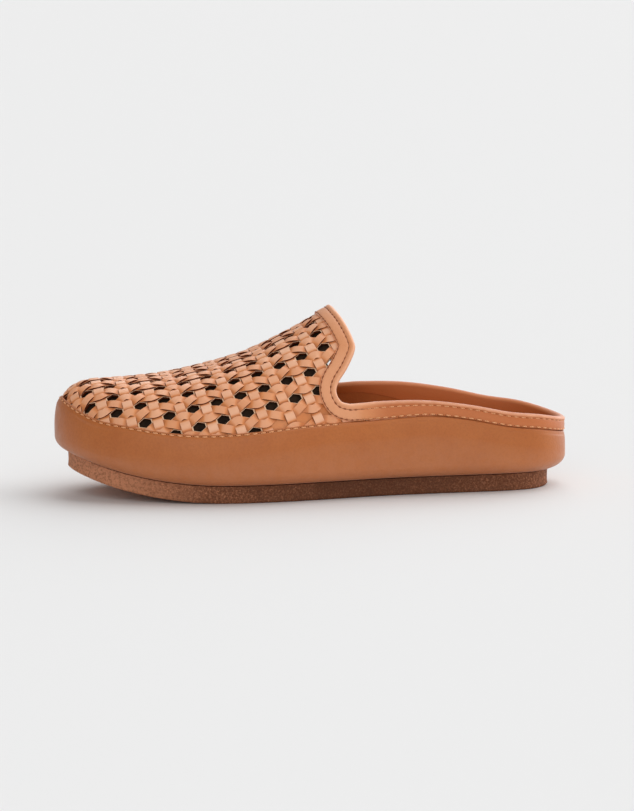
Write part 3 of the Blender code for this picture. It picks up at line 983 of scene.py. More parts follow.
@dataclass(frozen=True)
class Leather:
    """Smooth tanned leather: cloudy dye, fine grain and light rubbing, with painted highlights, reflections
    and shade laid on by the points' tone and mask.
    """

    name: str
    colour: Colour
    shade: Colour
    # The lighter colour, for rubbed places and for painted highlights and painted reflections.
    wear_and_sheen: Colour
    # The darker colour, for flecks and for a tone below zero, which on the strips is painted shade in their
    # dips.
    deep: Colour = linear(196, 110, 58)
    roughness: float = 0.42
    grain: float = 0.0009
    grain_depth: float = 0.00005
    cloud: float = 0.020
    gloss_patch: float = 0.006
    wear_and_sheen_patch: float = 0.004
    fleck_size: float = 0.0011
    fleck: float = 0.12
    specular: float = 0.42
    sheen: float = 0.12
    sheen_roughness: float = 0.4

    def build(self) -> Material:
        """Makes the material.

        Returns:
            The material.
        """
        nodes = Nodes(self.name)
        place = nodes.place()
        clouds = nodes.noise(place, self.cloud, 4.0, 0.55)
        dye = nodes.ramp(clouds, [(0.30, self.shade), (0.70, self.colour)])
        flecks = nodes.between(nodes.noise(place, self.fleck_size, 3.0, 0.6), 0.42, 0.72, 0.0, self.fleck)
        dye = nodes.mixed(flecks, dye, self.deep)
        # The tone lightens and darkens the dye: on the strips it carries painted highlights on top and
        # painted shade in the dips, besides random tone.
        tone = nodes.painted("tone")
        dye = nodes.mixed(tone, dye, self.wear_and_sheen)
        dye = nodes.mixed(nodes.times(tone, -1.0), dye, self.deep)
        # The mask lightens the dye in patches: rubbing on folded edges, and painted reflection of the floor
        # on the wrap's underside.
        patchy = nodes.between(nodes.noise(place, self.wear_and_sheen_patch), 0.3, 0.6, 0.6, 1.0)
        dye = nodes.mixed(nodes.times(nodes.painted("wear_and_sheen_mask"), patchy), dye, self.wear_and_sheen)
        patches = nodes.noise(place, self.gloss_patch, 4.0)
        gloss = nodes.between(patches, 0.3, 0.7, self.roughness - 0.05, self.roughness + 0.07)
        relief = nodes.bump(nodes.pebbles(place, self.grain), self.grain_depth)
        creases = nodes.noise(place, self.grain * 3.5, 4.0, 0.6)
        relief = nodes.bump(creases, self.grain_depth * 2.5, relief)
        return nodes.finish(
            dye,
            gloss,
            relief,
            Specular_IOR_Level=self.specular,
            Sheen_Weight=self.sheen,
            Sheen_Roughness=self.sheen_roughness,
        )


@dataclass(frozen=True)
class Suede:
    """The raw side or the cut edge of leather: dull and fibrous."""

    name: str
    colour: Colour
    shade: Colour
    fibre: float = 0.0004
    fibre_depth: float = 0.00008
    gloss_patch: float = 0.003
    specular: float = 0.2

    def build(self) -> Material:
        """Makes the material.

        Returns:
            The material.
        """
        nodes = Nodes(self.name)
        place = nodes.place()
        nap = nodes.noise(place, self.fibre, 5.0, 0.65)
        dye = nodes.ramp(nap, [(0.30, self.shade), (0.70, self.colour)])
        gloss = nodes.between(nodes.noise(place, self.gloss_patch), 0.3, 0.7, 0.72, 0.86)
        return nodes.finish(dye, gloss, nodes.bump(nap, self.fibre_depth), Specular_IOR_Level=self.specular)


@dataclass(frozen=True)
class Thread:
    """Waxed sewing thread with its twist, turned dark by painted shade where its tone is below zero."""

    name: str
    colour: Colour
    shade: Colour
    dark: Colour
    twist: float = 0.0007
    twist_depth: float = 0.00008
    gloss_patch: float = 0.002
    specular: float = 0.4

    def build(self) -> Material:
        """Makes the material.

        Returns:
            The material.
        """
        nodes = Nodes(self.name)
        place = nodes.place()
        wave = nodes.add("ShaderNodeTexWave", wave_type="BANDS", bands_direction="DIAGONAL")
        wave.inputs["Scale"].default_value = 1 / self.twist / 3
        nodes.join(place, wave.inputs["Vector"])
        strands = wave.outputs["Fac"]
        dye = nodes.ramp(strands, [(0.1, self.shade), (0.6, self.colour)])
        dye = nodes.mixed(nodes.times(nodes.painted("tone"), -1.0), dye, self.dark)
        gloss = nodes.between(nodes.noise(place, self.gloss_patch), 0.3, 0.7, 0.45, 0.60)
        relief = nodes.bump(strands, self.twist_depth)
        return nodes.finish(dye, gloss, relief, Specular_IOR_Level=self.specular)


@dataclass(frozen=True)
class Crepe:
    """Brown crepe rubber: dull, speckled and finely pitted."""

    name: str
    colour: Colour
    shade: Colour
    light: Colour
    dark: Colour
    speckle: float = 0.0009
    speck_size: float = 0.0013
    blotch_size: float = 0.012
    pit: float = 0.0030
    gloss_patch: float = 0.004
    specular: float = 0.25

    def build(self) -> Material:
        """Makes the material.

        Returns:
            The material.
        """
        nodes = Nodes(self.name)
        place = nodes.place()
        fine = nodes.noise(place, self.speckle, 3.0, 0.7)
        dye = nodes.ramp(fine, [(0.30, self.shade), (0.50, self.colour), (0.72, self.light)])
        blotch = nodes.between(nodes.noise(place, self.blotch_size, 4.0), 0.40, 0.70, 0.0, 0.45)
        dye = nodes.mixed(blotch, dye, self.shade)
        # The tone paints light on the sole: towards the pale colour for painted light, towards the dark
        # colour for painted shade.
        tone = nodes.painted("tone")
        dye = nodes.mixed(tone, dye, self.light)
        dye = nodes.mixed(nodes.times(tone, -1.0), dye, self.dark)
        specks = nodes.between(nodes.noise(place, self.speck_size, 2.0, 0.7), 0.46, 0.66, 0.0, 0.50)
        dye = nodes.mixed(specks, dye, self.shade)
        gloss = nodes.between(nodes.noise(place, self.gloss_patch), 0.3, 0.7, 0.72, 0.88)
        relief = nodes.bump(fine, 0.00022)
        relief = nodes.bump(nodes.noise(place, self.pit, 4.0, 0.6), 0.0004, relief)
        return nodes.finish(dye, gloss, relief, Specular_IOR_Level=self.specular)


@dataclass(frozen=True)
class Floor:
    """A matt pale studio floor."""

    name: str
    colour: Colour

    def build(self) -> Material:
        """Makes the material.

        Returns:
            The material.
        """
        nodes = Nodes(self.name)
        nodes.shader.inputs["Base Color"].default_value = (*self.colour, 1)
        nodes.shader.inputs["Roughness"].default_value = 0.9
        nodes.shader.inputs["Specular IOR Level"].default_value = 0.1
        return nodes.material


@dataclass
class Finishes:
    """Every material of the shoe, made once."""

    wrap: Material = field(init=False)
    strip: Material = field(init=False)
    band: Material = field(init=False)
    lining: Material = field(init=False)
    footbed: Material = field(init=False)
    cut_edge: Material = field(init=False)
    flesh_and_shade: Material = field(init=False)
    shadowed: Material = field(init=False)
    suede: Material = field(init=False)
    thread: Material = field(init=False)
    crepe: Material = field(init=False)

    def __post_init__(self) -> None:
        """Makes the materials."""
        # The wrap's lighter colour is also the painted reflection of the floor on its lower rings.
        self.wrap = Leather(
            "wrap_leather",
            linear(188, 108, 50),
            linear(180, 100, 44),
            linear(190, 126, 90),
            linear(140, 74, 34),
            fleck=0.22,
        ).build()
        # The strips' lighter colour is their painted highlight on top; the default darker colour is their
        # painted shade in the dips.
        self.strip = Leather(
            "woven_leather",
            linear(230, 150, 94),
            linear(218, 134, 76),
            linear(250, 198, 164),
            roughness=0.36,
            grain=0.0007,
            grain_depth=0.00003,
        ).build()
        self.band = Leather(
            "binding_leather",
            linear(226, 150, 100),
            linear(216, 138, 86),
            linear(246, 190, 154),
            roughness=0.42,
            grain=0.0007,
            grain_depth=0.00004,
        ).build()
        self.lining = Leather(
            "lining_leather",
            linear(186, 104, 44),
            linear(166, 88, 34),
            linear(196, 116, 60),
            roughness=0.50,
            grain=0.0010,
            grain_depth=0.00004,
        ).build()
        self.footbed = Leather(
            "footbed_leather",
            linear(176, 98, 46),
            linear(156, 84, 36),
            linear(190, 114, 62),
            roughness=0.55,
            grain=0.0012,
            grain_depth=0.00005,
        ).build()
        self.cut_edge = Suede("cut_edge", linear(255, 214, 178), linear(246, 196, 154)).build()
        # The raw side's dark colour is painted shade: it outlines the strips' sides, darkens the holes' walls
        # and fills the needle holes.
        self.flesh_and_shade = Suede("flesh_side_and_painted_shade", linear(104, 42, 10), linear(78, 28, 6)).build()
        # A dark face of painted shade for the lining behind the weave, seen through its holes.
        self.shadowed = Suede("lining_back_painted_shade", linear(62, 42, 26), linear(30, 20, 12), 0.004).build()
        self.suede = Suede("lining_suede", linear(150, 92, 52), linear(118, 68, 36)).build()
        # The thread's darkest colour is painted shade, for the stitches at the throat.
        threads = linear(236, 174, 124), linear(206, 138, 90), linear(146, 78, 40)
        self.thread = Thread("thread", *threads).build()
        # The crepe's pale colour also serves as painted light on the toe, its darkest as painted shade under
        # the middle.
        rubbers = linear(138, 86, 58), linear(102, 60, 38), linear(214, 146, 108), linear(76, 42, 24)
        self.crepe = Crepe("brown_crepe", *rubbers).build()


def hand_over(piece: Object, slot: str, *nodes: str) -> Object:
    """Makes a piece ride on the shoe and hides the solids that it stands for.

    Args:
        piece: The finished piece.
        slot: A material slot; not used.
        nodes: The solids that it replaces.

    Returns:
        The same piece.
    """
    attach(piece, BODY)
    if nodes:
        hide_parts(*nodes)
    LOG.info("%s: %d faces", piece.name, len(piece.data.polygons))
    return piece


@dataclass
class Vamp:
    """The woven vamp: interlaced strips on a punched sheet, with a lining behind whose dark outer face is
    painted shade.
    """

    last: Last
    finishes: Finishes
    column_pitch: float = 0.0123
    row_pitch: float = 0.0110
    cross_width: float = 0.0051
    pair_width: float = 0.0043
    strip_thickness: float = 0.00110
    crown: float = 0.00006
    rounding: float = 0.00016
    sunk: float = 0.00035
    lift: float = 0.54
    step: float = 0.0007
    cross_phase: float = 0.78
    row_drift: float = -0.052
    drift_column: float = 4.5
    cross_strips: range = range(-2, 15)
    pair_strips: range = range(-8, 8)
    row_span: float = 9.0
    column_span: tuple[float, float] = (-1.4, 15.2)
    wave_sharpness: float = 0.93
    lift_sharpness: float = 1.2
    tuck: float = 0.0034
    foot_reach: float = 0.98
    least_lift: float = 0.3
    calm_at_band: float = 0.003
    calm_at_wrap: tuple[float, float] = (-0.001, 0.002)
    strip_tones: float = 0.12
    wander_tones: float = 0.15
    wander_spots: int = 24
    sharp: float = 38.0
    # Painted light by height: a painted highlight on top of each crossing and painted shade in the dips,
    # stronger on the cross strips.
    top_highlight: float = 0.35
    dip_shade: float = 0.55
    cross_contrast: float = 1.7
    cell_columns: range = range(-2, 14)
    cell_rows: range = range(-9, 9)
    cell_span: tuple[float, float] = (-1.45, 13.9)
    cell_points: int = 24
    # A little painted shade over the whole punched sheet, which lies under the strips.
    cell_shade: float = -0.15
    hole_half_width: float = 0.245
    hole_half_height: float = 0.250
    hole_corner: float = 0.100
    rim_share: float = 1.20
    base_depth: float = 0.00045
    base_thickness: float = 0.0011
    plain_row: int = -6
    plain_before: int = 5
    sheet_depth: float = 0.0026
    sheet_thickness: float = 0.0006
    sheet_short: float = 0.0050
    sheet_tuck: float = 0.0030
    gap_height: float = 0.0690
    gap_spread: float = 0.0040
    sheet_end: float = 0.565
    sheet_columns: int = 140
    sheet_rows: int = 60
    lean_along: tuple[float, ...] = (0.05, 0.20, 0.35, 0.55)
    lean_degrees: tuple[float, ...] = (6.0, 14.0, 20.0, 27.0)
    steps: Array = field(init=False)
    chart_flat: Array = field(init=False)
    chart_girth: Array = field(init=False)

    def __post_init__(self) -> None:
        """Charts the sheet: for each column, places from the outer to the inner side and their girth."""
        last = self.last
        across = np.linspace(-1, 1, 81)
        ridge_flat, _, _ = last.ridge_of(np.linspace(0.0, 0.999, 240))
        toe_flat = np.linspace(last.outline(np.array(0.0), last.upper_inset), ridge_flat[0], 40)[:-1]
        points = last.surface(np.vstack([toe_flat, ridge_flat]))
        gone = gone_along(points)
        peak = (THROATS[0].along - 0.5) * last.length
        reach_up = float(np.interp(peak, points[:, 0], gone))
        self.steps = np.arange(-1.5, 15.5, 0.25)
        distance = reach_up - self.steps * self.column_pitch
        origin = read_line(distance, gone, points)
        lean = np.radians(through(self.lean_along, self.lean_degrees, origin[:, 0] / last.length + 0.5))
        normal = np.stack([np.cos(lean), np.zeros_like(lean), np.sin(lean)], axis=1)
        shape = (len(self.steps), len(across))
        low, high = np.full(shape, 1e-3), np.full(shape, 0.95)
        for _ in range(HALVINGS):
            half = (low + high) / 2
            point = last.surface(self.chart(half, across).reshape(-1, 2)).reshape(*shape, 3)
            behind = ((point - origin[:, None]) * normal[:, None]).sum(-1) < 0
            low = np.where(behind, half, low)
            high = np.where(behind, high, half)
        self.chart_flat = self.chart((low + high) / 2, across)
        point = last.surface(self.chart_flat.reshape(-1, 2)).reshape(*shape, 3)
        span = np.linalg.norm(np.diff(point, axis=1), axis=2)
        girth = np.concatenate([np.zeros((shape[0], 1)), np.cumsum(span, axis=1)], axis=1)
        side = last.ridge_side * last.ball_width
        middle = np.array([np.interp(side, row[:, 1], g) for row, g in zip(point, girth)])
        self.chart_girth = girth - middle[:, None]

    def chart(self, turn: Array, across: Array) -> Array:
        """Places on the flat pattern at a turn and a share across, from the outer to the inner side.

        Args:
            turn: Where on the outer half of the outline.
            across: The share, from -1 to 1.

        Returns:
            Places on the flat pattern.
        """
        outer = self.last.outline(turn, self.last.upper_inset)
        inner = self.last.outline(2 - turn, self.last.upper_inset)
        part = (np.broadcast_to(across, turn.shape)[..., None] + 1) / 2
        return outer + (inner - outer) * part

    def place(self, columns: Array, rows: Array) -> Array:
        """Places on the flat pattern of a column and row of the weave.

        Args:
            columns: Columns, counted from the tongue.
            rows: Rows, counted from the ridge.

        Returns:
            Places on the flat pattern.
        """
        columns = np.asarray(columns, float)
        rows = np.asarray(rows, float) + self.row_drift * (columns - self.drift_column)
        girth = rows * self.row_pitch
        at = (columns - self.steps[0]) / (self.steps[1] - self.steps[0])
        index = np.clip(at.astype(int), 0, len(self.steps) - 2)
        part = at - index
        places = np.zeros((len(columns), 2))
        for k in np.unique(index):
            here = index == k
            ends = [read_line(girth[here], self.chart_girth[j], self.chart_flat[j]) for j in (k, k + 1)]
            places[here] = ends[0] + (ends[1] - ends[0]) * part[here, None]
        return places

    def wave(self, column: Array) -> Array:
        """How far the paired strips swing, from 1 at an even cross strip to -1 at an odd one."""
        swing = self.wave_sharpness * np.cos(math.pi * (column - self.cross_phase))
        return np.arcsin(swing) / math.asin(self.wave_sharpness)

    def lifted(self, wave: Array) -> Array:
        """The height of a strip's middle over the sheet as it goes over and under its neighbours."""
        flat_topped = np.tanh(self.lift_sharpness * wave) / math.tanh(self.lift_sharpness)
        return flat_topped * self.strip_thickness * self.lift

    def paths(self, run: StripRun) -> list[tuple[Array, Array, Array]]:
        """The columns, rows and heights along each strip of one run.

        Args:
            run: Which run of strips.

        Returns:
            For each strip its columns, its rows and its heights.
        """
        if run is StripRun.CROSS:
            rows = np.arange(-self.row_span, self.row_span, self.step / self.row_pitch)
            weave = np.sin(-2 * math.pi * rows)
            return [
                (np.full_like(rows, number + self.cross_phase), rows, self.lifted((-1) ** number * weave))
                for number in self.cross_strips
            ]
        columns = np.arange(*self.column_span, self.step * 0.9 / self.column_pitch)
        way = -1 if run is StripRun.ZIG else 1
        swing = way * self.wave(columns) / 4
        over = way * np.cos(2 * math.pi * (columns - self.cross_phase))
        return [(columns, -(number + 0.5 + swing), self.lifted(over)) for number in self.pair_strips]

    def shade(self, heights: Array) -> Array:
        """The painted light along a strip by its height: painted shade where it dips under another, a painted
        highlight on top.
        """
        rise = heights / (self.strip_thickness * self.lift)
        return self.top_highlight * eased(0.1, 1.0, rise) - self.dip_shade * (1 - eased(-0.2, 0.6, rise))

    def section(self, width: float) -> tuple[Array, Array]:
        """The section of a strip, across and up, and the look of the face after each corner.

        Args:
            width: The strip's width.

        Returns:
            The corners, and a material number for each.
        """
        half, thick, soft = width / 2, self.strip_thickness / 2, self.rounding
        # The sides and underside take the dark raw-side look: painted shade that outlines each strip.
        right = [
            (half, -thick, Look.FLESH_AND_SHADE),
            (half, thick - soft, Look.GRAIN),
            (half - soft, thick, Look.GRAIN),
            (half * 0.5, thick + self.crown * 0.7, Look.GRAIN),
        ]
        after = [Look.GRAIN, Look.GRAIN, Look.FLESH_AND_SHADE, Look.FLESH_AND_SHADE]
        left = [(-across, up, look) for (across, up, _), look in zip(reversed(right), after)]
        corners = [*right, (0.0, thick + self.crown, Look.GRAIN), *left]
        places = np.array([corner[:2] for corner in corners])
        return places, np.array([look.value for _, _, look in corners])

    def uncovered(self, flat: Array, height: Array, hidden: Array) -> tuple[Array, Array]:
        """Finds which places of the weave are made.

        Args:
            flat: The places on the flat pattern.
            height: How high they are over the floor.
            hidden: The line under the band where the weave ends.

        Returns:
            Whether each place is made, and how far it is over the wrap's edge.
        """
        turn, reach = self.last.turn_and_reach(flat)
        over_wrap = height - self.last.wrap_edge(share_along(turn))
        return (over_wrap > -self.tuck) & ~inside(flat, hidden) & (reach < self.foot_reach), over_wrap

    def build(self) -> list[Object]:
        """Makes the strips of each run as one object, the lining with its painted shade, and the punched
        sheet.

        Returns:
            The five objects.
        """
        last = self.last
        edge = last.topline(184)
        width = last.band_width(edge)
        hidden = last.set_in(edge, width - self.tuck)
        band_edge = last.surface(last.set_in(edge, width))
        rng = np.random.default_rng(SEED)
        made = []
        for run in StripRun:
            crossing = run is StripRun.CROSS
            section, looks = self.section(self.cross_width if crossing else self.pair_width)
            contrast = self.cross_contrast if crossing else 1.0
            plan = MeshPlan()
            for columns, rows, heights in self.paths(run):
                flat = self.place(columns, rows)
                here, normal, _, _ = last.frame(flat)
                shown, over_wrap = self.uncovered(flat, here[:, 2], hidden)
                to_band = np.linalg.norm(here[:, None] - band_edge[None], axis=2).min(axis=1)
                free = eased(0.0, self.calm_at_band, to_band) * eased(*self.calm_at_wrap, over_wrap)
                rise = heights * (self.least_lift + (1 - self.least_lift) * free) - self.sunk
                middle = here + normal * rise[:, None]
                strip_tone = rng.uniform(-self.strip_tones, self.strip_tones)
                spots = np.linspace(0, len(middle), self.wander_spots)
                wander = rng.uniform(-self.wander_tones, self.wander_tones, self.wander_spots)
                tone = strip_tone + np.interp(np.arange(len(middle)), spots, wander)
                # Painted highlight on top and painted shade in the dips, added to the random tone.
                tone += self.shade(heights) * contrast
                for part in self.stretches(shown):
                    self.ribbon(plan, middle[part], normal[part], section, looks, tone[part])
            made.append(self.dressed(plan, run.value))
        made.append(self.shade_backing_sheet(edge, width))
        made.append(self.dressed(self.punched_sheet(hidden), "vamp_base"))
        return made

    def dressed(self, plan: MeshPlan, name: str) -> Object:
        """Makes an object of strip leather from its plan."""
        materials = [self.finishes.strip, self.finishes.cut_edge, self.finishes.flesh_and_shade]
        return hand_over(plan.build(name, self.last, materials, self.sharp), "woven_leather", "upper")

    def punched_sheet(self, hidden: Array) -> MeshPlan:
        """Lays out the leather right under the strips, with a six-sided hole in each cell of the weave.

        Args:
            hidden: The line under the band where the sheet ends.

        Returns:
            The sheet's plan.
        """
        last = self.last
        wide, tall, corner = self.hole_half_width, self.hole_half_height, self.hole_corner
        upper_half = [(wide, corner), (0.0, tall), (-wide, corner)]
        six = np.array([*upper_half, (-wide, -corner), (0.0, -tall), (wide, -corner), upper_half[0]])
        square = np.array([(0.5, 0.0), (0.5, 0.5), (-0.5, 0.5), (-0.5, -0.5), (0.5, -0.5), (0.5, 0.0)])
        around = np.arange(self.cell_points) / self.cell_points
        hole = read_line(around * 6, np.arange(7), six)
        rim = hole * self.rim_share
        cell = read_line(around * 4, gone_along(square), square)
        rings = [hole, hole, rim, *[rim + (cell - rim) * part for part in (0.35, 0.7, 1.0)]]
        local = np.concatenate(rings)
        depth = np.full(len(local), self.base_depth)
        depth[: self.cell_points] += self.base_thickness
        faces = grid_faces(len(rings), self.cell_points, around=True, flip=True)
        # The holes' walls take the dark raw-side look: painted shade inside the holes.
        face_looks = [Look.FLESH_AND_SHADE, Look.CUT_EDGE, Look.GRAIN, Look.GRAIN, Look.GRAIN]
        looks = np.repeat([look.value for look in face_looks], self.cell_points)
        lid = np.arange(self.cell_points)[None] + self.cell_points
        plan = MeshPlan()
        for column in self.cell_columns:
            for row in self.cell_rows:
                columns = np.clip(local[:, 0] + column + self.cross_phase - 0.5, *self.cell_span)
                flat = self.place(columns, local[:, 1] + row)
                here, normal, _, _ = last.frame(flat)
                kept, _ = self.uncovered(flat, here[:, 2], hidden)
                if not kept.any():
                    continue
                shown = kept[faces].all(axis=1)
                parts, part_looks = [faces[shown]], [looks[shown]]
                if row == self.plain_row and column < self.plain_before and kept[lid].any():
                    parts, part_looks = [*parts, lid], None
                # The sheet is painted a little darker: painted shade under the strips.
                plan.add(here - normal * depth[:, None], parts, part_looks, tone=self.cell_shade)
        return plan

    def shade_backing_sheet(self, edge: Array, width: Array) -> Object:
        """Makes the lining under the strips, from the band down to the insole; its dark outer face, seen
        through the holes, is painted shade.

        Args:
            edge: The topline on the flat pattern.
            width: The band's width along it.

        Returns:
            The lining.
        """
        last = self.last
        height = last.surface(edge)[:, 2]
        opened = np.exp(-(((height - self.gap_height) / self.gap_spread) ** 2)) * (edge[:, 1] < 0)
        drawn_back = (self.sheet_tuck + self.sheet_short) * opened
        inner_line = last.set_in(edge, width - self.sheet_tuck + drawn_back)
        front = inner_line[:, 0] < (self.sheet_end - 0.5) * last.length
        first = int(np.flatnonzero(front & ~np.roll(front, 1))[0])
        run = np.roll(inner_line, -first, axis=0)[: int(front.sum())]
        spots = np.linspace(0, len(run) - 1, self.sheet_columns)
        run = read_line(spots, np.arange(len(run)), run)
        ends, _ = last.turn_and_reach(run[[0, -1]])
        turn = np.linspace(ends[0] - 2, ends[1], self.sheet_columns) % 2
        foot_height = last.floor_height(share_along(turn)) + last.insole_thickness + 2 * last.gap
        foot = last.flat_place(turn, last.reach_at(turn, foot_height))
        part = np.linspace(0, 1, self.sheet_rows)[:, None, None]
        flat = (run + (foot - run) * part).reshape(-1, 2)
        here, normal, _, _ = last.frame(flat)
        outer = here - normal * self.sheet_depth
        inner = outer - normal * self.sheet_thickness
        sheet = grid_faces(self.sheet_rows, self.sheet_columns)
        count = len(outer)
        numbers = np.arange(count).reshape(self.sheet_rows, self.sheet_columns)
        rim = np.concatenate([numbers[0], numbers[1:-1, -1], numbers[-1, ::-1], numbers[-2:0:-1, 0]])
        after = np.roll(rim, -1)
        side = np.stack([rim, rim + count, after + count, after], axis=1)
        plan = MeshPlan()
        faces = [sheet, sheet[:, ::-1] + count, side]
        looks = [np.zeros(len(sheet), int), np.ones(len(sheet), int), np.ones(len(side), int)]
        plan.add(np.vstack([outer, inner]), faces, looks)
        piece = plan.build("vamp_lining_and_shade", last, [self.finishes.shadowed, self.finishes.suede], 50.0)
        return hand_over(piece, "woven_leather", "upper")

    @staticmethod
    def stretches(shown: Array) -> list[slice]:
        """Each unbroken stretch that is long enough to keep.

        Args:
            shown: Whether each point of a strip is made.

        Returns:
            The stretches.
        """
        change = np.flatnonzero(np.diff(np.concatenate([[0], shown.astype(int), [0]])))
        shortest = 7
        return [slice(a, b) for a, b in zip(change[::2], change[1::2]) if b - a >= shortest]

    @staticmethod
    def ribbon(
        plan: MeshPlan, middle: Array, normal: Array, section: Array, looks: Array, tone: Array
    ) -> None:
        """Adds one ribbon along a line, capped at both ends.

        Args:
            plan: The mesh to add it to.
            middle: The line through the ribbon's middle.
            normal: The leather's outward direction along it.
            section: Its section, across and up.
            looks: The look of the faces between the section's corners.
            tone: How light or dark it is along the line.
        """
        along = unit(np.gradient(middle, axis=0))
        across = unit(np.cross(normal, along))
        up = np.cross(along, across)
        count, sides = len(middle), len(section)
        rings = middle[:, None] + across[:, None] * section[None, :, :1] + up[:, None] * section[None, :, 1:]
        face_looks = [np.tile(looks, count - 1), np.full(2, Look.CUT_EDGE.value)]
        plan.add(rings.reshape(-1, 3), tube_faces(count, sides), face_looks, np.repeat(tone, sides))


@dataclass
class StitchRow:
    """A row of stitches sunk a little into the leather."""

    pitch: float = 0.0040
    length: float = 0.0026
    radius: float = 0.00038
    sink: float = 0.00010
    arch: float = 0.00028
    sides: int = 6
    rings: int = 7
    hole_sides: int = 8
    hole_size: float = 0.95
    hole_ahead: float = 0.4
    hole_out: float = 0.00003

    def sew(
        self,
        plan: MeshPlan,
        points: Array,
        normal: Array,
        closed: bool = False,
        stretch: float | Array = 1.0,
        tone: float | Array = 0.0,
    ) -> None:
        """Adds the row's stitches along a line.

        Args:
            plan: The mesh to add them to.
            points: The line on the leather's surface.
            normal: The leather's outward direction along it.
            closed: Whether the line closes on itself.
            stretch: How much longer than the row's own the stitches and their pitch are, along the line.
            tone: How much lighter or darker the thread is, along the line.
        """
        count = len(points)
        line = np.column_stack(
            [points, normal, np.broadcast_to(tone, count), np.broadcast_to(stretch, count)]
        )
        if closed:
            line = np.vstack([line, line[:1]])
        steps = np.linalg.norm(np.diff(line[:, :3], axis=0), axis=1) / (line[1:, 7] + line[:-1, 7]) * 2
        gone = np.concatenate([[0], np.cumsum(steps)])
        number = max(1, round(gone[-1] / self.pitch))
        part = np.linspace(0, 1, self.rings)
        angle = np.arange(self.sides) * 2 * math.pi / self.sides
        thick = self.radius * np.sqrt(np.sin(math.pi * np.clip(part, 0.06, 0.94)))
        for k in range(number):
            at = gone[-1] * (k + 0.5) / number + self.length * (part - 0.5)
            here = read_line(at, gone, line)
            out = unit(here[:, 3:6])
            along = unit(np.gradient(here[:, :3], axis=0))
            across = unit(np.cross(out, along))
            middle = here[:, :3] + out * (self.arch * np.sin(math.pi * part) - self.sink)[:, None]
            ring = across[:, None] * np.cos(angle)[:, None] + out[:, None] * np.sin(angle)[:, None]
            rings = middle[:, None] + ring * thick[:, None, None]
            shade = float(np.interp(at.mean(), gone, line[:, 6]))
            plan.add(rings.reshape(-1, 3), tube_faces(self.rings, self.sides), tone=shade)
            self.holes(plan, middle, along, out)

    def holes(self, plan: MeshPlan, middle: Array, along: Array, out: Array) -> None:
        """Adds painted shade for the two needle holes at a stitch's ends, as small sunk dark discs.

        Args:
            plan: The mesh to add them to.
            middle: The line through the stitch.
            along: Its direction.
            out: The leather's outward direction.
        """
        angle = np.arange(self.hole_sides) * 2 * math.pi / self.hole_sides
        for end, way in ((0, -1), (-1, 1)):
            ahead = along[end] * way * self.radius * self.hole_ahead
            centre = middle[end] + ahead + out[end] * (self.sink + self.hole_out)
            across = np.cross(out[end], along[end])
            ring = np.cos(angle)[:, None] * along[end] + np.sin(angle)[:, None] * across
            disc = np.arange(self.hole_sides)[None]
            plan.add(centre + ring * self.radius * self.hole_size, [disc], [np.ones(1, int)])


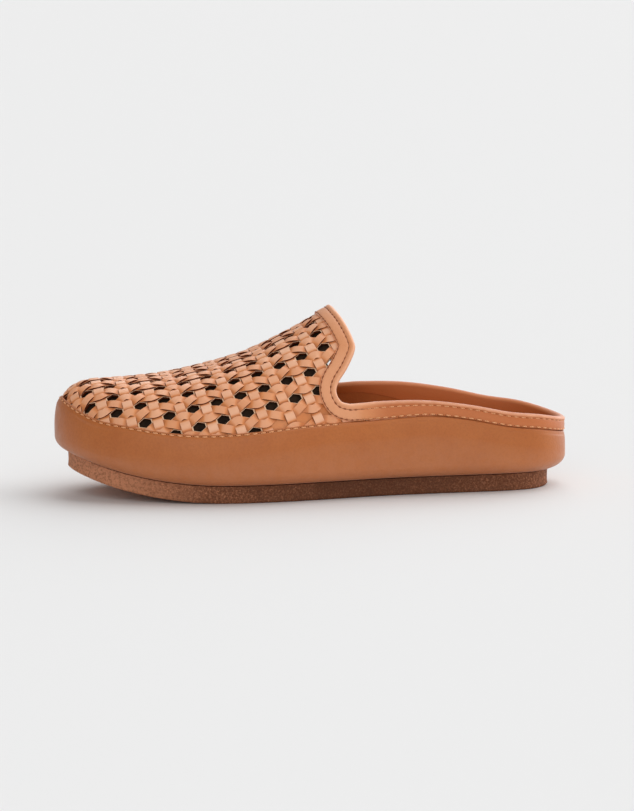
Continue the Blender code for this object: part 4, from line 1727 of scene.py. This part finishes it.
@dataclass
class Collar:
    """The folded binding round the opening, with its piped edge and two rows of stitches."""

    last: Last
    finishes: Finishes
    around: int = 520
    band_out: float = 0.00145
    puff: float = 0.00010
    groove: float = 0.00022
    groove_width: float = 0.00055
    roll_radius: float = 0.0017
    roll_swell: float = 0.00040
    edge_thickness: float = 0.0011
    edge_drop: float = 0.0003
    edge_round: float = 0.0002
    row_throat: float = 0.0034
    row_rear: float = 0.0022
    row_near_edge: float = 0.0006
    leg_out: float = -0.0032
    leg_bow: float = 0.0002
    leg_throat: float = 0.0055
    leg_rear: float = 0.0110
    fold_depth: float = 0.0014
    stitch_pitch: float = 0.0030
    stitch_length: float = 0.0020
    rear_stretch: float = 1.40
    # Painted shade on the throat's stitches, fading out towards the rear.
    throat_thread_shade: float = -1.0
    throat_tone: float = 0.25
    rear_tone: float = -0.95
    tone_change: tuple[float, float] = (-0.05, 0.03)
    stitch_change: tuple[float, float] = (-0.05, 0.0)
    worn_depth: float = 0.0009
    worn_spread: float = 0.0012
    worn_most: float = 0.45

    def rear(self, edge: Array, start: float, end: float) -> Array:
        """How far the topline has gone from the throat to the rear, between two shares of the length."""
        return eased(start, end, edge[:, 0] / self.last.length + 0.5)

    def rows(self, edge: Array) -> tuple[Array, Array]:
        """How deep the outer and inner stitch rows lie, along the topline.

        Args:
            edge: The topline on the flat pattern.

        Returns:
            The depths of the outer and the inner row.
        """
        rear = self.rear(edge, self.last.rim_start, self.last.band_end)
        outer = self.row_throat + rear * (self.row_rear - self.row_throat)
        return outer, self.last.band_width(edge) - self.row_near_edge

    def dip(self, depth: Array, *rows: Array) -> Array:
        """How far the stitch rows draw the leather down, at a depth from the topline."""
        return sum(self.groove * np.exp(-(((depth - row) / self.groove_width) ** 2)) for row in rows)

    def profile(self, edge: Array) -> list[tuple[Array, Array, Fold]]:
        """The binding's section all along the topline, from its lower edge over the roll to its inner leg.

        Args:
            edge: The topline on the flat pattern.

        Returns:
            For each line of the section its depth from the topline, its height over the upper's face and the
            side of the fold after it.
        """
        width = self.last.band_width(edge)
        outer_row, inner_row = self.rows(edge)
        flat = np.zeros(len(edge))
        lines = []

        def lay(depth: float | Array, out: float | Array, side: Fold = Fold.BAND) -> None:
            """Adds one line of the section."""
            lines.append((flat + depth, flat + out, side))

        lay(width, self.band_out - self.edge_thickness)
        lay(width, self.band_out - self.edge_drop)
        lay(width - self.edge_round, self.band_out)
        start = width - 2 * self.edge_round
        parts = np.concatenate([np.linspace(0, 0.22, 5), np.linspace(0.3, 0.85, 6), np.linspace(0.9, 1.0, 3)])
        for part in parts:
            depth = start + (outer_row - start) * part
            puff = self.puff * math.sin(math.pi * part)
            lay(depth, self.band_out + puff - self.dip(depth, outer_row, inner_row))
        for part in (0.15, 0.35, 0.60, 0.85):
            depth = outer_row + (self.roll_radius - outer_row) * part
            swell = self.roll_swell * math.sin(math.pi / 2 * part)
            lay(depth, self.band_out + swell - self.dip(depth, outer_row))
        top = self.band_out + self.roll_swell
        middle, spread = (top + self.leg_out) / 2, (top - self.leg_out) / 2
        for angle in np.radians(np.linspace(90, -90, 15)):
            side = Fold.BAND if angle > 0.15 else Fold.LINING
            lay(self.roll_radius * (1 - math.cos(angle)), middle + spread * math.sin(angle), side)
        rear = self.rear(edge, self.last.rim_start, self.last.band_end)
        leg = self.leg_throat + rear * (self.leg_rear - self.leg_throat)
        inner = -self.last.upper_wall - self.last.gap
        lay(leg * 0.6, self.leg_out + self.leg_bow, Fold.LINING)
        lay(leg, inner - self.edge_drop, Fold.LINING)
        lay(leg, inner, Fold.LINING)
        lay(self.fold_depth, inner, Fold.LINING)
        lay(self.fold_depth, self.band_out - self.edge_thickness)
        return lines

    def build(self) -> list[Object]:
        """Makes the binding and its stitches.

        Returns:
            The binding and the stitches.
        """
        last = self.last
        edge = last.topline(self.around)
        lines = self.profile(edge)
        rings = []
        for depth, out, _ in lines:
            here, normal, _, _ = last.frame(last.set_in(edge, depth))
            rings.append(here + normal * out[:, None])
        wear_and_sheen = [
            self.worn_most * max(0.0, 1 - abs(depth.mean() - self.worn_depth) / self.worn_spread)
            for depth, _, _ in lines
        ]
        looks = np.repeat([side.value for _, _, side in lines], self.around)
        plan = MeshPlan()
        faces = grid_faces(len(rings) + 1, self.around, around=True)
        points = np.concatenate([*rings, rings[0]])
        rear = self.rear(edge, *(last.rim_start + change for change in self.tone_change))
        tone = np.tile(self.throat_tone + (self.rear_tone - self.throat_tone) * rear, len(rings) + 1)
        plan.add(points, [faces], [looks], tone=tone, wear_and_sheen_mask=np.repeat([*wear_and_sheen, wear_and_sheen[0]], self.around))
        band = plan.build("collar_band", last, [self.finishes.band, self.finishes.lining], 40.0)
        hand_over(band, "binding_leather", "collar_binding")
        thread = MeshPlan()
        stitch = StitchRow(pitch=self.stitch_pitch, length=self.stitch_length)
        rear = self.rear(edge, *(last.rim_start + change for change in self.stitch_change))
        stretch = 1 + (self.rear_stretch - 1) * rear
        # Painted shade on the throat's stitches, none at the rear.
        tone = self.throat_thread_shade * (1 - rear)
        for depth in self.rows(edge):
            here, normal, _, _ = last.frame(last.set_in(edge, depth))
            surface = here + normal * (self.band_out - self.groove)
            stitch.sew(thread, surface, normal, closed=True, stretch=stretch, tone=tone)
        stitches = thread.build("collar_stitches", last, [self.finishes.thread, self.finishes.flesh_and_shade], 60.0)
        return [band, hand_over(stitches, "binding_leather")]


@dataclass
class Platform:
    """The platform in its leather wrap, on a crepe outsole."""

    last: Last
    finishes: Finishes
    around: int = 480
    unevenness: float = 0.00022
    edge_share: float = 0.45
    row_angle: float = 72.0
    row_spread: float = 7.0
    row_end: float = 0.53
    crease: float = 0.00040
    stitch_pitch: float = 0.0043
    stitch_length: float = 0.0028
    sole_edge: tuple[tuple[float, float], ...] = (
        (0.0200, 0.0),
        (0.0100, 0.0),
        (0.0012, 0.0),
        (0.0006, 0.0002),
        (0.0, 0.0009),
    )
    sole_hollow: float = 0.00025
    sole_along: tuple[float, ...] = (0.0, 0.12, 0.30, 0.55, 0.85, 1.0)
    # Painted light along the sole: the toe lighter with painted light from the floor, the middle darker with
    # painted shade under the wrap.
    sole_light_and_shade: tuple[float, ...] = (0.80, 0.70, -0.10, -0.65, -0.30, 0.0)
    turned_under: float = 0.0015
    swell_first: int = 6
    swell_end: int = 26
    spine: float = 0.8
    # Painted reflection of the floor on the wrap's lower rings, and rubbing on its folded edge.
    reflection_rings: tuple[int, ...] = (0, 10, 14, 18)
    wear_and_sheen: tuple[float, ...] = (0.45, 0.45, 0.30, 0.0)
    worn_edge: float = 0.3
    tucked: float = 0.0040
    fold_rise: float = 0.0003

    def turns(self) -> Array:
        """Places round the outline."""
        return np.arange(self.around) * 2 / self.around

    def ring(self, inset: float | Array, height: Array) -> Array:
        """A ring of points at an inset from the outline."""
        return np.column_stack([self.last.outline(self.turns(), inset), height])

    def sole(self) -> Object:
        """Makes the crepe outsole, with its edges softened and its side a little hollow.

        Returns:
            The outsole.
        """
        last = self.last
        share = share_along(self.turns())
        under = last.spring(share)
        edge = last.outsole_inset(share)
        rings = [self.ring(edge + inset, under + height) for inset, height in self.sole_edge]
        for part in (0.25, 0.5, 0.75):
            hollow = self.sole_hollow * math.sin(math.pi * part)
            rings.append(self.ring(edge + hollow, under + part * last.outsole_thickness))
        rings.append(self.ring(edge, under + last.outsole_thickness))
        plan = MeshPlan()
        # The sole's tone is painted light and shade along its length.
        tone = np.tile(through(self.sole_along, self.sole_light_and_shade, share), len(rings))
        plan.add(np.concatenate(rings), [grid_faces(len(rings), self.around, around=True)], tone=tone)
        plan.fill(0, self.around, flip=True)
        plan.fill((len(rings) - 1) * self.around, self.around)
        piece = plan.build("crepe_sole", last, [self.finishes.crepe], 60.0)
        return hand_over(piece, "brown_crepe", "outsole")

    def wrap_rings(self) -> list[Array]:
        """The wrap's rings from its underside up to its folded edge and down inside.

        Returns:
            The rings, from below.
        """
        last = self.last
        turn = self.turns()
        share = share_along(turn)
        spring = last.spring(share)
        rings = []
        under = last.outsole_inset(share) + self.turned_under
        base = last.outsole_thickness + last.gap
        for angle in np.radians(np.linspace(0, 90, 13)):
            low = base + last.platform_round * (1 - math.cos(angle))
            rings.append(self.ring(under * (1 - math.sin(angle)), spring + low))
        height = last.wrap_edge(share)
        edge, normal = last.wall_frame(turn, last.reach_at(turn, height))
        top_edge = edge + normal * (last.gap + last.wrap_leather * self.edge_share)
        widest = self.ring(0.0, height - last.wrap_shoulder(share))
        side_start = rings[-1]
        for part in (0.25, 0.5, 0.75):
            rings.append(side_start + (widest - side_start) * part)
        rings.append(widest)
        outward = unit(np.column_stack([normal[:, :2], np.zeros(len(normal))]))
        sewn = 1 - eased(self.row_end - 0.04, self.row_end, share)
        for angle in self.closing_angles():
            closing = widest + (top_edge - widest) * (1 - math.cos(angle))
            closing[:, 2] = widest[:, 2] + (top_edge[:, 2] - widest[:, 2]) * math.sin(angle)
            off_row = (math.degrees(angle) - self.row_angle) / self.row_spread
            crease = self.crease * math.exp(-(off_row**2)) * sewn
            rings.append(closing - outward * crease[:, None])
        return rings

    def closing_angles(self) -> Array:
        """The angles at which the wrap's rings close in towards its edge."""
        return np.radians(np.concatenate([np.linspace(6, 54, 9), np.linspace(57, 90, 12)]))

    def row_ring(self) -> int:
        """The number of the wrap's ring that the stitches follow, counted from the last."""
        angles = np.degrees(self.closing_angles())
        return int(np.argmin(np.abs(angles - self.row_angle))) - len(angles) - 3

    def swell(self, points: Array) -> Array:
        """The slow unevenness of lasted leather, as a distance outwards.

        Args:
            points: Points of the wrap.

        Returns:
            How far each is moved outwards.
        """
        x, y, z = np.moveaxis(points, -1, 0)
        slow = 0.6 * np.sin(x * 57 + y * 83 + 2.1)
        return self.unevenness * (np.sin(x * 130 + 1.3) * np.sin(z * 170 + 0.4) + slow)

    def wrap(self) -> list[Object]:
        """Makes the wrap, and the stitches that join it to the vamp.

        Returns:
            The wrap and its stitches.
        """
        last = self.last
        turn = self.turns()
        share = share_along(turn)
        rings = self.wrap_rings()
        height = last.wrap_edge(share)
        edge, normal = last.wall_frame(turn, last.reach_at(turn, height))
        inner, inner_normal = last.wall_frame(turn, last.reach_at(turn, height - self.tucked))
        half_edge = last.gap + last.wrap_leather * self.edge_share * 0.5
        rings.append(edge + normal * half_edge + [0, 0, self.fold_rise])
        rings.append(edge + normal * last.gap)
        rings.append(inner + inner_normal * last.gap)
        points = np.stack(rings)
        outward = points * [1, 1, 0]
        outward[..., 0] -= points[0, :, 0] * self.spine
        outward = unit(outward)
        side = slice(self.swell_first, self.swell_end)
        points[side] += outward[side] * self.swell(points[side])[..., None]
        # Painted reflection of the floor on the lower rings; the folded edge's rings are rubbed lighter.
        wear_and_sheen_mask = np.interp(np.arange(len(rings)), self.reflection_rings, self.wear_and_sheen)
        wear_and_sheen_mask[-4:-1] = self.worn_edge
        faces = grid_faces(len(rings), self.around, around=True)
        plan = MeshPlan()
        plan.add(points.reshape(-1, 3), [faces], wear_and_sheen_mask=np.repeat(wear_and_sheen_mask, self.around))
        plan.fill(0, self.around, flip=True)
        piece = plan.build("leather_wrap", last, [self.finishes.wrap], 60.0)
        hand_over(piece, "wrap_leather", "midsole")
        thread = MeshPlan()
        front = share < self.row_end
        order = np.concatenate([np.flatnonzero(front & (turn > 1)), np.flatnonzero(front & (turn <= 1))])
        row = self.row_ring()
        out = unit(normal[order] + outward[row, order])
        StitchRow(pitch=self.stitch_pitch, length=self.stitch_length).sew(thread, points[row, order], out)
        stitches = thread.build("wrap_stitches", last, [self.finishes.thread, self.finishes.flesh_and_shade], 60.0)
        return [piece, hand_over(stitches, "wrap_leather")]


@dataclass
class Inside:
    """The insole and the lining of the low quarter."""

    last: Last
    finishes: Finishes
    around: int = 360
    backing: float = 0.0063
    backing_front: float = 0.355
    backing_full: float = 0.41
    lining_depth: float = 0.0018
    lining_thickness: float = 0.0006
    lining_drop: float = 0.0010
    lining_foot: float = 0.0010
    lining_rings: int = 12
    dish: float = 0.0010

    def middle_line(self) -> tuple[Array, Array]:
        """The line midway between the two sides of the foot.

        Returns:
            The line's X and its Y.
        """
        half = np.linspace(0, 1, 61)
        outer, inner = self.last.outline(half), self.last.outline(2 - half)
        return outer[:, 0], (outer[:, 1] + inner[:, 1]) / 2

    def insole(self) -> Object:
        """Makes the insole, dished a little under the foot.

        Returns:
            The insole.
        """
        last = self.last
        turn = np.arange(self.around) * 2 / self.around
        low = last.floor_height(share_along(turn))
        top = last.insole_thickness
        wall, normal = last.wall_frame(turn, last.reach_at(turn, low + top))
        inner = (wall - normal * (last.upper_wall + 1.5 * last.gap))[:, :2]
        middle = np.column_stack([inner[:, 0], np.interp(inner[:, 0], *self.middle_line())])
        rings = []
        for drawn_in, height in (
            (0.0, last.gap),
            (0.0, top * 0.70),
            (0.0004, top * 0.92),
            (0.0012, top),
            (0.0030, top - self.dish * 0.15),
            (0.0060, top - self.dish * 0.45),
            (0.0100, top - self.dish * 0.80),
            (0.0150, top - self.dish),
            (0.0210, top - self.dish),
        ):
            arm = middle - inner
            share = drawn_in / np.maximum(np.linalg.norm(arm, axis=1), 2 * drawn_in + last.gap)
            rings.append(np.column_stack([inner + arm * share[:, None], low + height]))
        plan = MeshPlan()
        plan.add(np.concatenate(rings), [grid_faces(len(rings), self.around, around=True)])
        plan.fill(0, self.around, flip=True)
        plan.fill((len(rings) - 1) * self.around, self.around)
        piece = plan.build("footbed", last, [self.finishes.footbed], 50.0)
        return hand_over(piece, "footbed_leather", "insole")

    def lining(self) -> Object:
        """Makes the low wall inside the wrap, which also backs the weave's lowest gaps near the collar.

        Returns:
            The lining.
        """
        last = self.last
        turn = np.arange(self.around) * 2 / self.around
        share = share_along(turn)
        backed = eased(self.backing_front, self.backing_full, share)
        top = last.wrap_edge(share) - self.lining_drop + (self.backing + self.lining_drop) * backed
        low = last.floor_height(share) + self.lining_foot
        walls = [
            last.wall_frame(turn, last.reach_at(turn, low + (top - low) * part))
            for part in np.linspace(0, 1, self.lining_rings)
        ]
        outer = [here - normal * self.lining_depth for here, normal in walls]
        inner_depth = self.lining_depth + self.lining_thickness
        inner = [here - normal * inner_depth for here, normal in walls[::-1]]
        loops = outer + inner + [outer[0]]
        plan = MeshPlan()
        looks = np.repeat(np.arange(len(loops) - 1) >= len(outer) - 1, self.around).astype(int)
        plan.add(np.concatenate(loops), [grid_faces(len(loops), self.around, around=True)], [looks])
        piece = plan.build("quarter_lining", last, [self.finishes.band, self.finishes.lining], 50.0)
        return hand_over(piece, "woven_leather", "upper")


@dataclass(frozen=True)
class Sun:
    """A far lamp: where it shines from, its strength and how wide it looks, in degrees."""

    name: str
    shines_from: tuple[float, float, float]
    strength: float
    width: float

    def build(self) -> None:
        """Makes the lamp."""
        data = bpy.data.lights.new(self.name, "SUN")
        data.energy, data.angle = self.strength, math.radians(self.width)
        lamp = placed(self.name, data)
        lamp.rotation_mode = "QUATERNION"
        lamp.rotation_quaternion = (-Vector(self.shines_from)).to_track_quat("-Z", "Y")


@dataclass
class Studio:
    """The floor, lights and camera."""

    azimuth: float = 9.0
    elevation: float = 8.0
    distance: float = 1.900
    target: tuple[float, float, float] = (0.0024, 0.0, 0.0438)
    pixels_per_metre: float = 1905.0
    long_side: int = 811
    sensor: float = 36.0
    floor_size: float = 60.0
    sky_strength: float = 0.33
    floor_colour: Colour = (0.82, 0.82, 0.82)
    suns: tuple[Sun, ...] = (
        Sun("high_sun", (0.80, 0.42, 0.68), 3.05, 105.0),
        Sun("front_sun", (-0.10, -0.80, 0.35), 0.80, 60.0),
    )

    def camera(self) -> Object:
        """Makes the camera at the photograph's angle.

        Returns:
            The camera.
        """
        data = bpy.data.cameras.new("camera")
        data.sensor_width = self.sensor
        data.lens = self.pixels_per_metre * self.distance * self.sensor / self.long_side
        data.clip_start, data.clip_end = 0.05, 50.0
        camera = placed("camera", data)
        azimuth, elevation = math.radians(self.azimuth), math.radians(self.elevation)
        level = math.cos(elevation)
        forward = Vector((math.sin(azimuth) * level, math.cos(azimuth) * level, -math.sin(elevation)))
        camera.location = Vector(self.target) - forward * self.distance
        camera.rotation_mode = "QUATERNION"
        camera.rotation_quaternion = forward.to_track_quat("-Z", "Y")
        bpy.context.scene.camera = camera
        return camera

    def build(self) -> None:
        """Makes the floor, the lamps, the sky and the camera."""
        half = self.floor_size / 2
        mesh = bpy.data.meshes.new("studio_floor")
        corners = [(-half, -half, 0), (half, -half, 0), (half, half, 0), (-half, half, 0)]
        mesh.from_pydata(corners, [], [(0, 1, 2, 3)])
        mesh.materials.append(Floor("studio_floor", self.floor_colour).build())
        floor = placed("studio_floor", mesh)
        for sun in self.suns:
            sun.build()
        world = bpy.data.worlds.new("studio_sky")
        world.use_nodes = True
        sky = world.node_tree.nodes["Background"]
        sky.inputs["Color"].default_value = (1.0, 1.0, 1.0, 1)
        sky.inputs["Strength"].default_value = self.sky_strength
        bpy.context.scene.world = world
        bpy.context.scene.view_settings.view_transform = "Standard"
        self.camera()


def main() -> None:
    """Builds the shoe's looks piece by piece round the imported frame."""
    logging.basicConfig(level=logging.INFO, format="%(name)s %(message)s")
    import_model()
    Studio().build()
    last = Last()
    finishes = Finishes()
    platform = Platform(last, finishes)
    platform.sole()
    platform.wrap()
    inside_of_shoe = Inside(last, finishes)
    inside_of_shoe.insole()
    inside_of_shoe.lining()
    Vamp(last, finishes).build()
    Collar(last, finishes).build()


if __name__ == "__main__":
    main()
